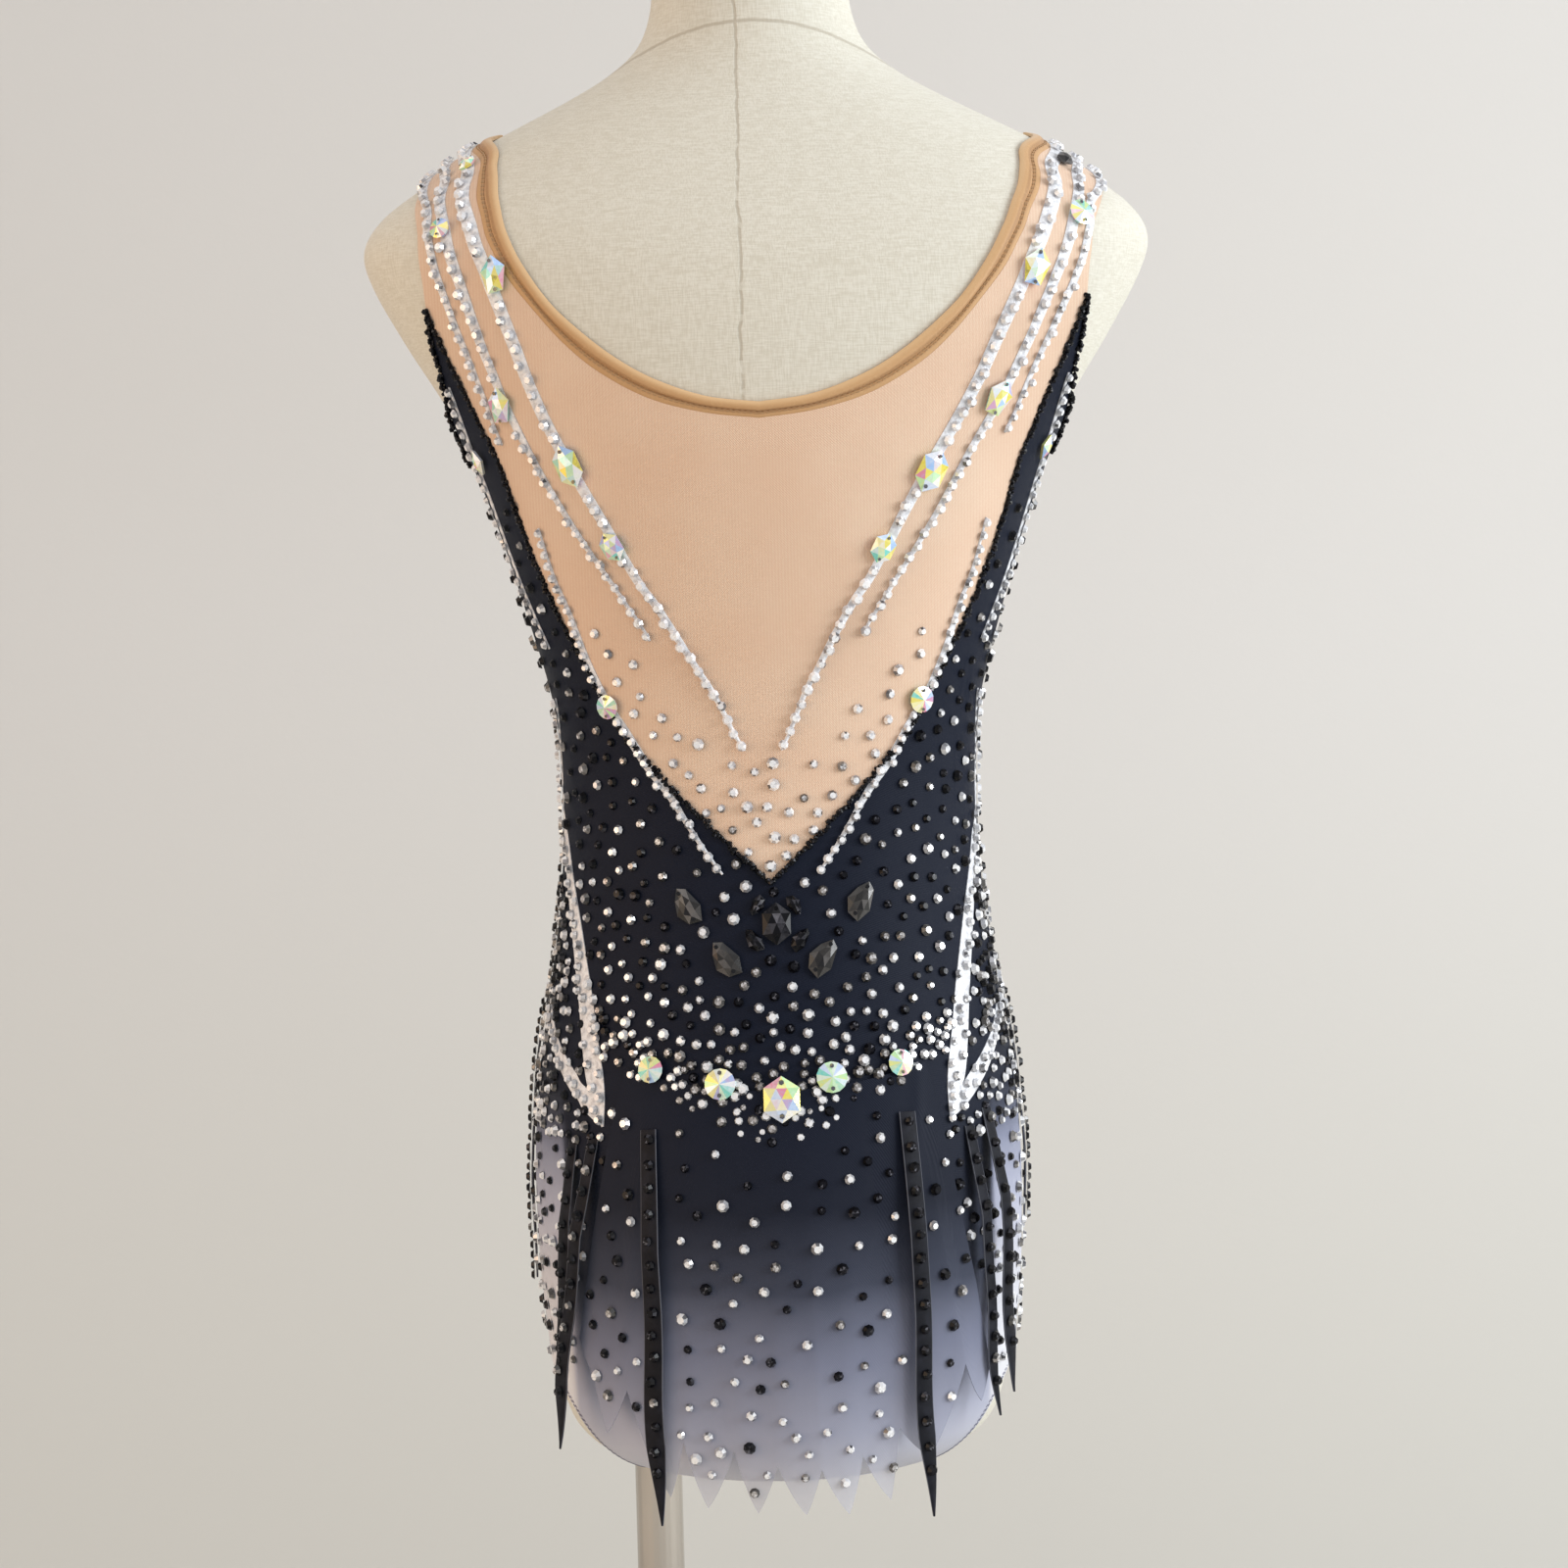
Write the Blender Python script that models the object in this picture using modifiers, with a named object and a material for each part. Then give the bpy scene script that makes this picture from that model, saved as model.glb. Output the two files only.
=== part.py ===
"""Rhythmic gymnastics leotard on a limbless child-size dress form.

Run with: blender --background --python part.py

Metres, +Z up. The wearer's back, with the deep V of nude mesh, faces -Y and +X is to the
right as one looks at that back. The origin is the centre of the stand's base, underneath.

Everything worn follows one skin: the torso's rings, worked out from the table TORSO. A place
on it is an angle round the body (0 at the centre back, 90 at the right side, 180 at the
centre front) and a level (a position along the rows of TORSO). Cloth is a wall a little way
out from that skin, so no piece meets the form or its neighbour.
"""
import math
from collections import namedtuple

import bmesh
import bpy
from mathutils import Matrix, Vector

MM = 0.001

# Clearances and thicknesses of the cloth, in mm
CLOTH_GAP = 1.05
CLOTH_WALL = 1.0
BAND_LIFT = 2.95
BAND_WALL = 1.0
STONE_LIFT_BODY = 2.4
STONE_LIFT_SKIRT = 3.9
SEAM_INSET = 0.24
BINDING_WALL = 1.5

# The skirt and ribbons hang outside the briefs
SKIRT_LIFT = 2.6
SKIRT_WALL = 1.0
RIBBON_SEWN_BODY = 2.4
RIBBON_SEWN_SKIRT = 4.4
RIBBON_LIFT = 8.2
RIBBON_WALL = 1.0
RIBBON_RISE = 0.3
HANG_HEIGHT = 400
HANG_DRIFT = 0.035

# The dress form's stand
POLE_X = -60
POLE_RADIUS = 11
BASE_RADIUS = 190
BASE_THICKNESS = 8
BASE_BEVEL = 2
BASE_SIDES = 48
POLE_SIDES = 24
SOCKET_RADIUS = 20
SOCKET_HEIGHT = 26
TOUCH_GAP = 0.3

# The neck's cap: share of the neck's outline and height above it
NECK_CAP_PROFILE = ((1.0, 0.3), (1.04, 2), (1.04, 5), (0.9, 8))

# Heights between which a point of the skin is judged inside or outside the body
SPINE_LOW = 350
SPINE_HIGH = 850

# Height, half width, depth to the back, depth to the front and fullness of each ring
Ring = namedtuple("Ring", "height half back front full")
TORSO = (
    Ring(296.4, 12, 12, 12, 0.00),
    Ring(296.6, 46, 42, 38, 0.00),
    Ring(299.5, 80, 68, 60, 0.02),
    Ring(311, 97, 84, 74, 0.04),
    Ring(332, 104.5, 91, 79, 0.05),
    Ring(360, 108.5, 95, 81, 0.06),
    Ring(400, 111, 98, 82, 0.07),
    Ring(440, 111, 96, 82, 0.07),
    Ring(480, 107.5, 88, 82, 0.07),
    Ring(520, 101, 78, 81, 0.08),
    Ring(560, 95.5, 69, 79, 0.09),
    Ring(605, 93.5, 63, 77, 0.10),
    Ring(645, 97, 64, 77, 0.10),
    Ring(690, 109, 70, 79, 0.10),
    Ring(735, 123, 78, 82, 0.10),
    Ring(775, 140, 83, 83, 0.10),
    Ring(810, 161, 84, 80, 0.10),
    Ring(836, 175, 81, 73, 0.10),
    Ring(852, 178.5, 76.5, 66, 0.10),
    Ring(866, 170, 71, 60, 0.10),
    Ring(880, 151, 65, 54, 0.10),
    Ring(893, 132, 59, 50, 0.08),
    Ring(905, 109, 53, 47, 0.06),
    Ring(917, 85, 47, 45, 0.04),
    Ring(928, 66, 43, 44, 0.02),
    Ring(940, 52.5, 40.5, 45, 0.00),
    Ring(955, 46, 39.5, 46, 0.00),
    Ring(975, 44, 39, 46, 0.00),
    Ring(1000, 43.5, 39, 46, 0.00),
)
TORSO_COLUMNS = 32
FINE_ROWS = range(3, 18)

# Levels where pieces meet: the crotch seams and the points of the armhole on the side line
CROTCH_LEVEL = 2.0
CROTCH_ANGLE = 50
UNDERARM_HEIGHT = 755
RIDGE_NECK_INNER = 900.5
RIDGE_NECK_OUTER = 896
RIDGE_ARM = 880

# The worn garment sits a little askew at the shoulders: by how much, in rows of TORSO, and from
# which level up to which
LEAN = 0.19
LEAN_START = 16
LEAN_END = 20

# Edges of the panels, as distance from the centre line and height in mm
Spot = namedtuple("Spot", "x height")
BACK_NECK_INNER = (
    Spot(0, 776), Spot(23, 779), Spot(45, 787), Spot(62, 797), Spot(77, 809), Spot(90, 822),
    Spot(101, 838), Spot(108, 852), Spot(112.5, 866), Spot(115, 881), Spot(117, 892),
)
BACK_NECK_OUTER = (
    Spot(0, 769), Spot(24, 772), Spot(48, 779), Spot(69, 791), Spot(84, 804), Spot(97, 819),
    Spot(108.5, 834), Spot(116, 848), Spot(120.5, 861), Spot(123.5, 876), Spot(124.8, 887),
)
BACK_BLACK_EDGE = (
    Spot(0, 566), Spot(25, 590), Spot(46, 612), Spot(65, 636), Spot(79, 663),
    Spot(91, 687), Spot(100, 709), Spot(107, 729), Spot(114, 752), Spot(124, 774),
    Spot(137, 803), Spot(145, 822),
)
BACK_ARM_UP = (
    Spot(145, 822), Spot(146.6, 837), Spot(148.5, 854), Spot(152, 868), Spot(152.8, 875),
)
BACK_ARM_DOWN = (Spot(145, 822), Spot(142, 803), Spot(139, 787), Spot(137, 771))
FRONT_NECK_INNER = (
    Spot(0, 842), Spot(28, 845), Spot(54, 855), Spot(76, 869), Spot(92, 883), Spot(102, 895),
)
FRONT_NECK_OUTER = (
    Spot(0, 835), Spot(30, 838), Spot(58, 848), Spot(82, 863), Spot(99, 878), Spot(110, 890),
)
FRONT_BLACK_EDGE = (
    Spot(0, 716), Spot(32, 734), Spot(64, 753), Spot(95, 775), Spot(119, 794), Spot(133, 808),
)
FRONT_ARM_UP = (Spot(133, 808), Spot(136, 828), Spot(141, 848), Spot(148, 866))
FRONT_ARM_DOWN = (Spot(133, 808), Spot(134, 793), Spot(135, 779), Spot(136, 766))

# The leg opening: angle from the centre line and level, from the crotch seam to the side
Edge = namedtuple("Edge", "angle level")
LEG_EDGE = (
    Edge(CROTCH_ANGLE, CROTCH_LEVEL), Edge(55, 2.7), Edge(61, 3.3), Edge(69, 3.85),
    Edge(79, 4.25), Edge(90, 4.5),
)
GUSSET_NARROWING = 0.6
GUSSET_ROUND = 0.8

# White bands: distance from the centre line, height and width, down the back, over the
# shoulder and down the front
Stripe = namedtuple("Stripe", "side x height width")
INNER_BAND = (
    Stripe("back", 8, 624.5, 1.2), Stripe("back", 12, 632, 1.8), Stripe("back", 20, 650, 2.4),
    Stripe("back", 26.5, 661, 2.8), Stripe("back", 34.3, 675, 3.2), Stripe("back", 43.4, 690, 3.6),
    Stripe("back", 50.5, 700, 3.9), Stripe("back", 61.5, 720, 4.6), Stripe("back", 75, 744, 5.2),
    Stripe("back", 88, 767, 5.6), Stripe("back", 97, 785, 5.8), Stripe("back", 105, 804, 6.0),
    Stripe("back", 114, 825, 6.2), Stripe("back", 121, 842, 6.4), Stripe("back", 126.5, 857, 6.6),
    Stripe("back", 130, 872, 6.6), Stripe("back", 130, 884, 6.6), Stripe("ridge", 0, 893.6, 6.6),
    Stripe("front", 129, 882, 6.6), Stripe("front", 120, 868, 6.4), Stripe("front", 104, 845, 6.0),
    Stripe("front", 84, 815, 5.6), Stripe("front", 58, 780, 4.2), Stripe("front", 30, 746, 1.4),
)
MIDDLE_BAND = (
    Stripe("back", 46.5, 674, 1.2), Stripe("back", 49.5, 680, 1.5), Stripe("back", 55.4, 689, 1.8),
    Stripe("back", 61.8, 699, 2.0), Stripe("back", 68.4, 709, 2.3), Stripe("back", 80.9, 729, 2.8),
    Stripe("back", 93.8, 752, 3.4), Stripe("back", 107, 776, 4.4), Stripe("back", 115.5, 795, 4.8),
    Stripe("back", 123, 813, 5.0), Stripe("back", 131.5, 835, 5.2), Stripe("back", 137.5, 855, 5.4),
    Stripe("back", 140.5, 870, 5.4), Stripe("back", 140.5, 880, 5.4),
    Stripe("ridge", 0, 887.6, 5.4), Stripe("front", 138, 876, 5.4), Stripe("front", 130, 860, 5.2),
    Stripe("front", 121, 840, 4.8), Stripe("front", 104, 812, 3.6), Stripe("front", 84, 786, 1.2),
)
OUTER_BAND = (
    Stripe("back", 110, 762, 1.2), Stripe("back", 114.5, 772, 2.0), Stripe("back", 119.5, 785, 2.8),
    Stripe("back", 124.5, 797, 3.2), Stripe("back", 132.5, 815, 3.6),
    Stripe("back", 140.5, 835, 3.8), Stripe("back", 145, 852, 4.0), Stripe("back", 147.8, 867, 4.0),
    Stripe("ridge", 0, 882.4, 4.0), Stripe("front", 144, 870, 4.0), Stripe("front", 139, 855, 4.0),
    Stripe("front", 132, 834, 3.4), Stripe("front", 120, 812, 1.2),
)
ARM_FLASH = (
    Stripe("back", 137, 789, 1.2), Stripe("back", 130, 765, 3.8), Stripe("back", 123, 744, 4.2),
    Stripe("back", 116, 722, 4.0), Stripe("back", 108, 699, 3.4), Stripe("back", 96, 671, 1.2),
)
V_FLASH = (
    Stripe("back", 98.3, 725, 1.0), Stripe("back", 92.5, 704, 1.8), Stripe("back", 85.5, 686, 2.8),
    Stripe("back", 78.5, 665, 4.0), Stripe("back", 70.5, 647, 4.4), Stripe("back", 62, 633, 4.2),
    Stripe("back", 53, 618, 3.8), Stripe("back", 43.5, 605, 3.2), Stripe("back", 34, 589, 2.2),
    Stripe("back", 25.5, 576, 1.6), Stripe("back", 21, 570, 1.0),
)
BAND_SHIFT = (
    Spot(-2, 620), Spot(-3, 650), Spot(-4, 680), Spot(-4, 750), Spot(-1, 795), Spot(1.5, 835),
    Spot(1.5, 855), Spot(0, 872),
)
HIP_INNER = (
    Stripe("back", 94.5, 648, 1.2), Stripe("back", 93, 606, 6.0), Stripe("back", 91, 577, 7.4),
    Stripe("back", 87, 544, 8.4), Stripe("back", 83.4, 516, 9.4), Stripe("back", 81, 493, 10.4),
    Stripe("back", 79.3, 480, 10.4), Stripe("back", 77.7, 470, 7.4), Stripe("back", 76, 459.5, 1.2),
)
HIP_OUTER = (
    Stripe("back", 100, 506, 2.0), Stripe("back", 98.3, 493, 5.2), Stripe("back", 94, 484, 6.2),
    Stripe("back", 90.5, 478.5, 4.2), Stripe("back", 88.4, 475.5, 1.2),
)

# The skirt's hem: where each point and notch is, as distance from the centre and height
BACK_HEM = (
    Spot(-88, 364), Spot(-81.5, 349), Spot(-75.5, 325), Spot(-65.5, 346), Spot(-48.2, 301),
    Spot(-42.6, 326), Spot(-33, 296.5), Spot(-21.4, 322), Spot(-11.7, 295), Spot(-3, 316),
    Spot(8.6, 294.5), Spot(15.3, 314), Spot(26.7, 293.5), Spot(33.2, 318), Spot(45.1, 297),
    Spot(49, 328.5), Spot(61.7, 314), Spot(76.5, 352), Spot(83.7, 333.5), Spot(88, 349),
)
FRONT_HEM = (
    Spot(-84, 366), Spot(-76, 322), Spot(-62, 348), Spot(-48, 306), Spot(-35, 338),
    Spot(-20, 304), Spot(-8, 334), Spot(8, 302), Spot(22, 334), Spot(36, 304),
    Spot(50, 342), Spot(64, 314), Spot(76, 352), Spot(84, 330),
)
SKIRT_TOP_MIDDLE = 477
SKIRT_TOP_RISE = 9
SKIRT_TOP_HALF = 67
SKIRT_GATHER = 0.73
SKIRT_FLARE = 0.8
SKIRT_ROWS = 7
SKIRT_FOLD = 1.5
SKIRT_FOLD_WIDTH = 11
SKIRT_FOLD_START = 0.6
HEM_BOW = 0.4

# Ribbons: top and tip, width at the top and at the widest, and how far they stand out
Ribbon = namedtuple("Ribbon", "name face top_x top tip_x tip top_width width stand")
RIBBONS = (
    Ribbon("ribbon_left_outer", "back", -89.5, 451, -91, 337, 6.0, 9.5, 0.0),
    Ribbon("ribbon_left_inner", "back", -80, 454, -93, 314, 6.0, 9.5, 1.6),
    Ribbon("ribbon_back_left", "back", -54.5, 460, -51, 289, 7.4, 9.4, 0.4),
    Ribbon("ribbon_back_right", "back", 55.4, 465, 60.5, 289, 7.8, 8.4, 0.4),
    Ribbon("ribbon_right_inner", "back", 84, 455, 90, 325, 6.0, 6.5, 0.0),
    Ribbon("ribbon_right_outer", "back", 92, 461, 95.5, 334, 7.0, 9.0, 1.6),
    Ribbon("ribbon_front_left", "front", -52, 462, -56, 300, 7.0, 9.0, 0.4),
    Ribbon("ribbon_front_right", "front", 52, 462, 56, 300, 7.0, 9.0, 0.4),
)
SIDE_RIBBON_TOP = 508
SIDE_RIBBON_TIPS = (("ribbon_left_side", -1, 377), ("ribbon_right_side", 1, 398))
SIDE_RIBBON_WIDTH = 8.5
SIDE_RIBBON_ANGLE = 89
SIDE_RIBBON_STAND = 3.0
RIBBON_STEPS = 11
RIBBON_TAPER = 0.72
RIBBON_TIP = 1.0
RIBBON_POINT = 1.3
RIBBON_SWAY = 1.2

# Large sew-on stones: outline, place, size and turn
Stone = namedtuple("Stone", "name kind x height wide tall turn")
STONES = (
    Stone("stone_belt_far_left", "round", -53, 485.5, 11.8, 11.8, 0),
    Stone("stone_belt_left", "round", -23.5, 480, 13.8, 13.8, 0),
    Stone("stone_belt_centre", "hexagon", 2.4, 473.2, 16.5, 20.5, 0),
    Stone("stone_belt_right", "round", 23.8, 481.8, 13.8, 13.8, 0),
    Stone("stone_belt_far_right", "round", 53.2, 486, 11.8, 11.8, 0),
    Stone("stone_smoke_upper_left", "drop", -36.7, 556, 13.5, 18.5, 32),
    Stone("stone_smoke_upper_right", "drop", 38.5, 557, 13.5, 18.5, -30),
    Stone("stone_smoke_lower_left", "drop", -20.5, 533, 13.5, 18.5, 36),
    Stone("stone_smoke_lower_right", "drop", 21.5, 533, 13.5, 18.5, -34),
    Stone("stone_jet_centre", "hexagon", 2, 548, 13, 19, 0),
)
STONE_SIDES = {"round": 12, "hexagon": 6, "drop": 9}
STONE_DEPTH = 3.4
STONE_GIRDLE = 0.45
STONE_TABLE = 0.46
STONE_BACK = 0.9
DROP_POINT = 0.6
HEXAGON_SHOULDER = 0.42
HEXAGON_CORNER = 0.9
BELT_HEIGHT = 508

# How finely the sheets are divided, counted on half of a panel or down it
BLACK_STEPS = {"back": 12, "front": 11}
STRAP_STEPS = 8
ARM_STEPS = 4
YOKE_ROWS = {"back": 6, "front": 5}
BODY_ROWS = {"back": 20, "front": 19}
BODY_BEND = 0.42
BODY_EASE = 1.25
COLUMN_SPREAD = 1.1
CROTCH_SNAP = 6
GUSSET_ROWS = 6
BAND_STEP = 13
SMOOTH_STEPS = 12

# Halvings in a search for a level, and the distance over which a direction is judged
HALVINGS = 40
LEVEL_STEP = 0.02

# Colour, roughness and metallic value of each finish
FINISHES = {
    "form_linen": ((0.72, 0.68, 0.58), 0.9, 0.0),
    "chrome": ((0.62, 0.58, 0.53), 0.2, 1.0),
    "base_steel": ((0.5, 0.5, 0.5), 0.35, 1.0),
    "nude_mesh": ((0.66, 0.47, 0.34), 0.7, 0.0),
    "tan_binding": ((0.55, 0.32, 0.15), 0.65, 0.0),
    "black_lycra": ((0.012, 0.013, 0.02), 0.55, 0.0),
    "silver_applique": ((0.72, 0.72, 0.74), 0.35, 0.0),
    "ombre_mesh": ((0.09, 0.1, 0.14), 0.6, 0.0),
    "black_ribbon": ((0.008, 0.009, 0.014), 0.5, 0.0),
    "aurora_crystal": ((0.75, 0.82, 0.85), 0.08, 0.1),
    "smoke_crystal": ((0.08, 0.08, 0.09), 0.08, 0.1),
}


def section(level):
    """Ring at a level, by a smooth curve through the rows of TORSO."""
    last = len(TORSO) - 1
    level = min(max(level, 0.0), float(last))
    row = min(int(level), last - 1)
    part = level - row
    before, start = TORSO[max(row - 1, 0)], TORSO[row]
    end, after = TORSO[row + 1], TORSO[min(row + 2, last)]
    square, cube = part * part, part ** 3
    values = []
    for a, b, c, d in zip(before, start, end, after):
        value = (2 * cube - 3 * square + 1) * b + (3 * square - 2 * cube) * c
        value += (cube - 2 * square + part) * (c - a) / 2 + (cube - square) * (d - b) / 2
        values.append(value)
    return Ring(*values)


def level_at(height):
    """Level whose ring lies at a height in mm."""
    low, high = 0.0, float(len(TORSO) - 1)
    for _ in range(HALVINGS):
        middle = (low + high) / 2
        if section(middle).height < height:
            low = middle
        else:
            high = middle
    return (low + high) / 2


def ring_point(angle, level):
    """Point of the bare skin in mm, at an angle in degrees and a level."""
    ring = section(level)
    turn = math.radians(angle)
    depth = ring.back if math.cos(turn) > 0 else ring.front
    shape = 1 + ring.full * math.sin(turn) ** 2
    return Vector((ring.half * math.sin(turn), -depth * math.cos(turn) * shape, ring.height))


def leaned(angle, level):
    """Level at which the garment's place lies, higher on the left shoulder than on the right."""
    share = min(max((level - LEAN_START) / (LEAN_END - LEAN_START), 0.0), 1.0)
    return level - LEAN * share * share * (3 - 2 * share) * math.sin(math.radians(angle))


def skin_normal(angle, level):
    """Outward direction of the skin at a place of the garment."""
    level = leaned(angle, level)
    across = ring_point(angle + 1, level) - ring_point(angle - 1, level)
    up = ring_point(angle, level + LEVEL_STEP) - ring_point(angle, level - LEVEL_STEP)
    return across.cross(up).normalized()


def skin(angle, level, lift):
    """Point in mm of the garment that lies lift mm out from the skin."""
    return ring_point(angle, leaned(angle, level)) + skin_normal(angle, level) * lift


def angle_at(x, height, face="back"):
    """Angle of the point of the back or front that lies x mm from the centre line."""
    ring = section(level_at(height))
    turn = math.degrees(math.asin(max(-1.0, min(1.0, x / ring.half))))
    return turn if face == "back" else 180 - turn


def smooth_path(points, count):
    """Points evenly spaced by length along a smooth curve through the given vectors."""
    fine = []
    for index in range(len(points) - 1):
        before, start = points[max(index - 1, 0)], points[index]
        end, after = points[index + 1], points[min(index + 2, len(points) - 1)]
        for step in range(SMOOTH_STEPS):
            t = step / SMOOTH_STEPS
            value = (2 * t ** 3 - 3 * t * t + 1) * start + (3 * t * t - 2 * t ** 3) * end
            value += (t ** 3 - 2 * t * t + t) * (end - before) / 2
            value += (t ** 3 - t * t) * (after - start) / 2
            fine.append(value)
    fine.append(points[-1])
    travelled = [0.0]
    for first, second in zip(fine, fine[1:]):
        a, b = (skin(value.x, value.y, 0) for value in (first, second))
        travelled.append(travelled[-1] + (b - a).length)
    even = []
    index = 0
    for step in range(count + 1):
        goal = travelled[-1] * step / count
        while index < len(fine) - 2 and travelled[index + 1] < goal:
            index += 1
        span = max(travelled[index + 1] - travelled[index], 1e-9)
        even.append(fine[index].lerp(fine[index + 1], (goal - travelled[index]) / span))
    return even


def edge_path(spots, count, end=None):
    """Evenly spaced (angle, level) places along an edge given by spots on the right half."""
    places = [Vector((angle_at(s.x, s.height), level_at(s.height))) for s in spots]
    if end is not None:
        places.append(Vector((90, level_at(end))))
    return smooth_path(places, count)


def finish(name):
    """Material for a finish, made once."""
    found = bpy.data.materials.get(name)
    if found:
        return found
    colour, roughness, metallic = FINISHES[name]
    made = bpy.data.materials.new(name)
    made.use_nodes = True
    shader = made.node_tree.nodes["Principled BSDF"]
    shader.inputs["Base Color"].default_value = (*colour, 1)
    shader.inputs["Roughness"].default_value = roughness
    shader.inputs["Metallic"].default_value = metallic
    made.diffuse_color = (*colour, 1)
    return made


def add_object(name, bm, finish_name, collection):
    """Turn a bmesh in mm into a named object in metres."""
    bmesh.ops.scale(bm, vec=Vector((MM, MM, MM)), verts=bm.verts)
    mesh = bpy.data.meshes.new(name)
    bm.to_mesh(mesh)
    bm.free()
    mesh.materials.append(finish(finish_name))
    made = bpy.data.objects.new(name, mesh)
    collection.objects.link(made)
    return made


def loft(name, rings, finish_name, collection):
    """Closed solid through rings of points, capped at both ends."""
    bm = bmesh.new()
    loops = [[bm.verts.new(point) for point in ring] for ring in rings]
    count = len(loops[0])
    for lower, upper in zip(loops, loops[1:]):
        for i in range(count):
            j = (i + 1) % count
            bm.faces.new((lower[i], lower[j], upper[j], upper[i]))
    bm.faces.new(list(reversed(loops[0])))
    bm.faces.new(loops[-1])
    bmesh.ops.recalc_face_normals(bm, faces=bm.faces)
    return add_object(name, bm, finish_name, collection)


def pull_in(grid, inset):
    """Move the border points of a grid of skin points into the sheet by the seam's inset."""
    rows, columns = len(grid), len(grid[0])
    moved = [list(row) for row in grid]
    for r in range(rows):
        for c in range(columns):
            if r in (0, rows - 1):
                inside = grid[1 if r == 0 else rows - 2][c] - grid[r][c]
                along = grid[r][min(c + 1, columns - 1)] - grid[r][max(c - 1, 0)]
                moved[r][c] = moved[r][c] + across_edge(inside, along) * inset
            if c in (0, columns - 1):
                inside = grid[r][1 if c == 0 else columns - 2] - grid[r][c]
                along = grid[min(r + 1, rows - 1)][c] - grid[max(r - 1, 0)][c]
                moved[r][c] = moved[r][c] + across_edge(inside, along) * inset
    return moved


def across_edge(inside, along):
    """Unit direction into the sheet, square to its edge."""
    line = along.normalized()
    square = inside - line * inside.dot(line)
    return square.normalized() if square.length > 1e-6 else inside.normalized()


def wall(name, grid, thickness, finish_name, collection):
    """Sheet through a grid of points in mm, given its wall by Solidify on the outer side."""
    bm = bmesh.new()
    rows = [[bm.verts.new(point) for point in row] for row in grid]
    for lower, upper in zip(rows, rows[1:]):
        for c in range(len(lower) - 1):
            bm.faces.new((lower[c], lower[c + 1], upper[c + 1], upper[c]))
    bm.normal_update()
    sample = rows[len(rows) // 2][len(rows[0]) // 2]
    spine = Vector((0, 0, min(max(sample.co.z, SPINE_LOW), SPINE_HIGH)))
    if sample.normal.dot(sample.co - spine) < 0:
        bmesh.ops.reverse_faces(bm, faces=bm.faces)
    made = add_object(name, bm, finish_name, collection)
    solid = made.modifiers.new("cloth wall", "SOLIDIFY")
    solid.thickness = thickness * MM
    solid.offset = 1
    return made


def turned(angle, face):
    """Angle round the body of a place given from the centre line of the back or front."""
    return angle if face == "back" else 180 - angle


def panel(name, top, bottom, rows, face, finish_name, collection, bend=1.0,
          ease=1.0, thickness=CLOTH_WALL):
    """Symmetric panel on the skin between two edges given on the right half.

    A bend under 1 turns its columns early; an ease over 1 sets its rows closer at the bottom.
    """
    grid = []
    for r in range(rows + 1):
        down = r / rows
        half = []
        for upper, lower in zip(top, bottom):
            angle = upper.x + (lower.x - upper.x) * down ** bend
            level = lower.y + (upper.y - lower.y) * (1 - down) ** ease
            half.append((turned(angle, face), level))
        left = [skin(-turn, level, CLOTH_GAP) for turn, level in reversed(half[1:])]
        grid.append(left + [skin(turn, level, CLOTH_GAP) for turn, level in half])
    return wall(name, pull_in(grid, SEAM_INSET), thickness, finish_name, collection)


def build_yoke(face, inner, outer, black, arm, collection):
    """Neck binding and nude mesh yoke of one face; returns the black edge's places."""
    seam = edge_path(black, BLACK_STEPS[face])
    strap = edge_path(arm, STRAP_STEPS, RIDGE_ARM)
    lower = seam + strap[1:]
    count = len(lower) - 1
    neck = edge_path(inner, count, RIDGE_NECK_INNER)
    rim = edge_path(outer, count, RIDGE_NECK_OUTER)
    panel("neck_binding_" + face, neck, rim, 1, face, "tan_binding", collection,
          thickness=BINDING_WALL)
    panel(face + "_yoke", rim, lower, YOKE_ROWS[face], face, "nude_mesh", collection)
    return seam


def body_bottom(seam):
    """Lower edge of a body panel: one (angle, level) place below each one of its top edge."""
    crotch = []
    for i, place in enumerate(seam):
        angle = place.x + COLUMN_SPREAD * i
        if angle > CROTCH_ANGLE - CROTCH_SNAP:
            break
        crotch.append(Vector((angle, CROTCH_LEVEL)))
    leg_steps = len(seam) - 1 + ARM_STEPS - len(crotch)
    leg = smooth_path([Vector((edge.angle, edge.level)) for edge in LEG_EDGE], leg_steps)
    return crotch + leg


def build_body(face, seam, arm, collection):
    """Black body panel of one face; returns the places of its crotch edge."""
    wing = edge_path(arm, ARM_STEPS, UNDERARM_HEIGHT)
    bottom = body_bottom(seam)
    panel(face + "_body", seam + wing[1:], bottom, BODY_ROWS[face], face, "black_lycra", collection,
          bend=BODY_BEND, ease=BODY_EASE)
    return [place for place in bottom if place.x <= CROTCH_ANGLE + 0.01]


def underside(x, y, lift):
    """Point lift mm below the form's rounded underside at x and y."""
    low, high = 0.0, CROTCH_LEVEL + 1
    for _ in range(HALVINGS):
        middle = (low + high) / 2
        ring = section(middle)
        share = x / ring.half
        depth = ring.back if y < 0 else ring.front
        reach = depth * math.sqrt(max(0.0, 1 - share * share)) * (1 + ring.full * share * share)
        if abs(share) < 1 and abs(y) < reach:
            high = middle
        else:
            low = middle
    ring = section(high)
    if high < 1e-3:
        return Vector((x, y, ring.height - lift))
    turn = math.degrees(math.asin(max(-1.0, min(1.0, x / ring.half))))
    return skin(turn if y < 0 else 180 - turn, high, lift)


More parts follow.
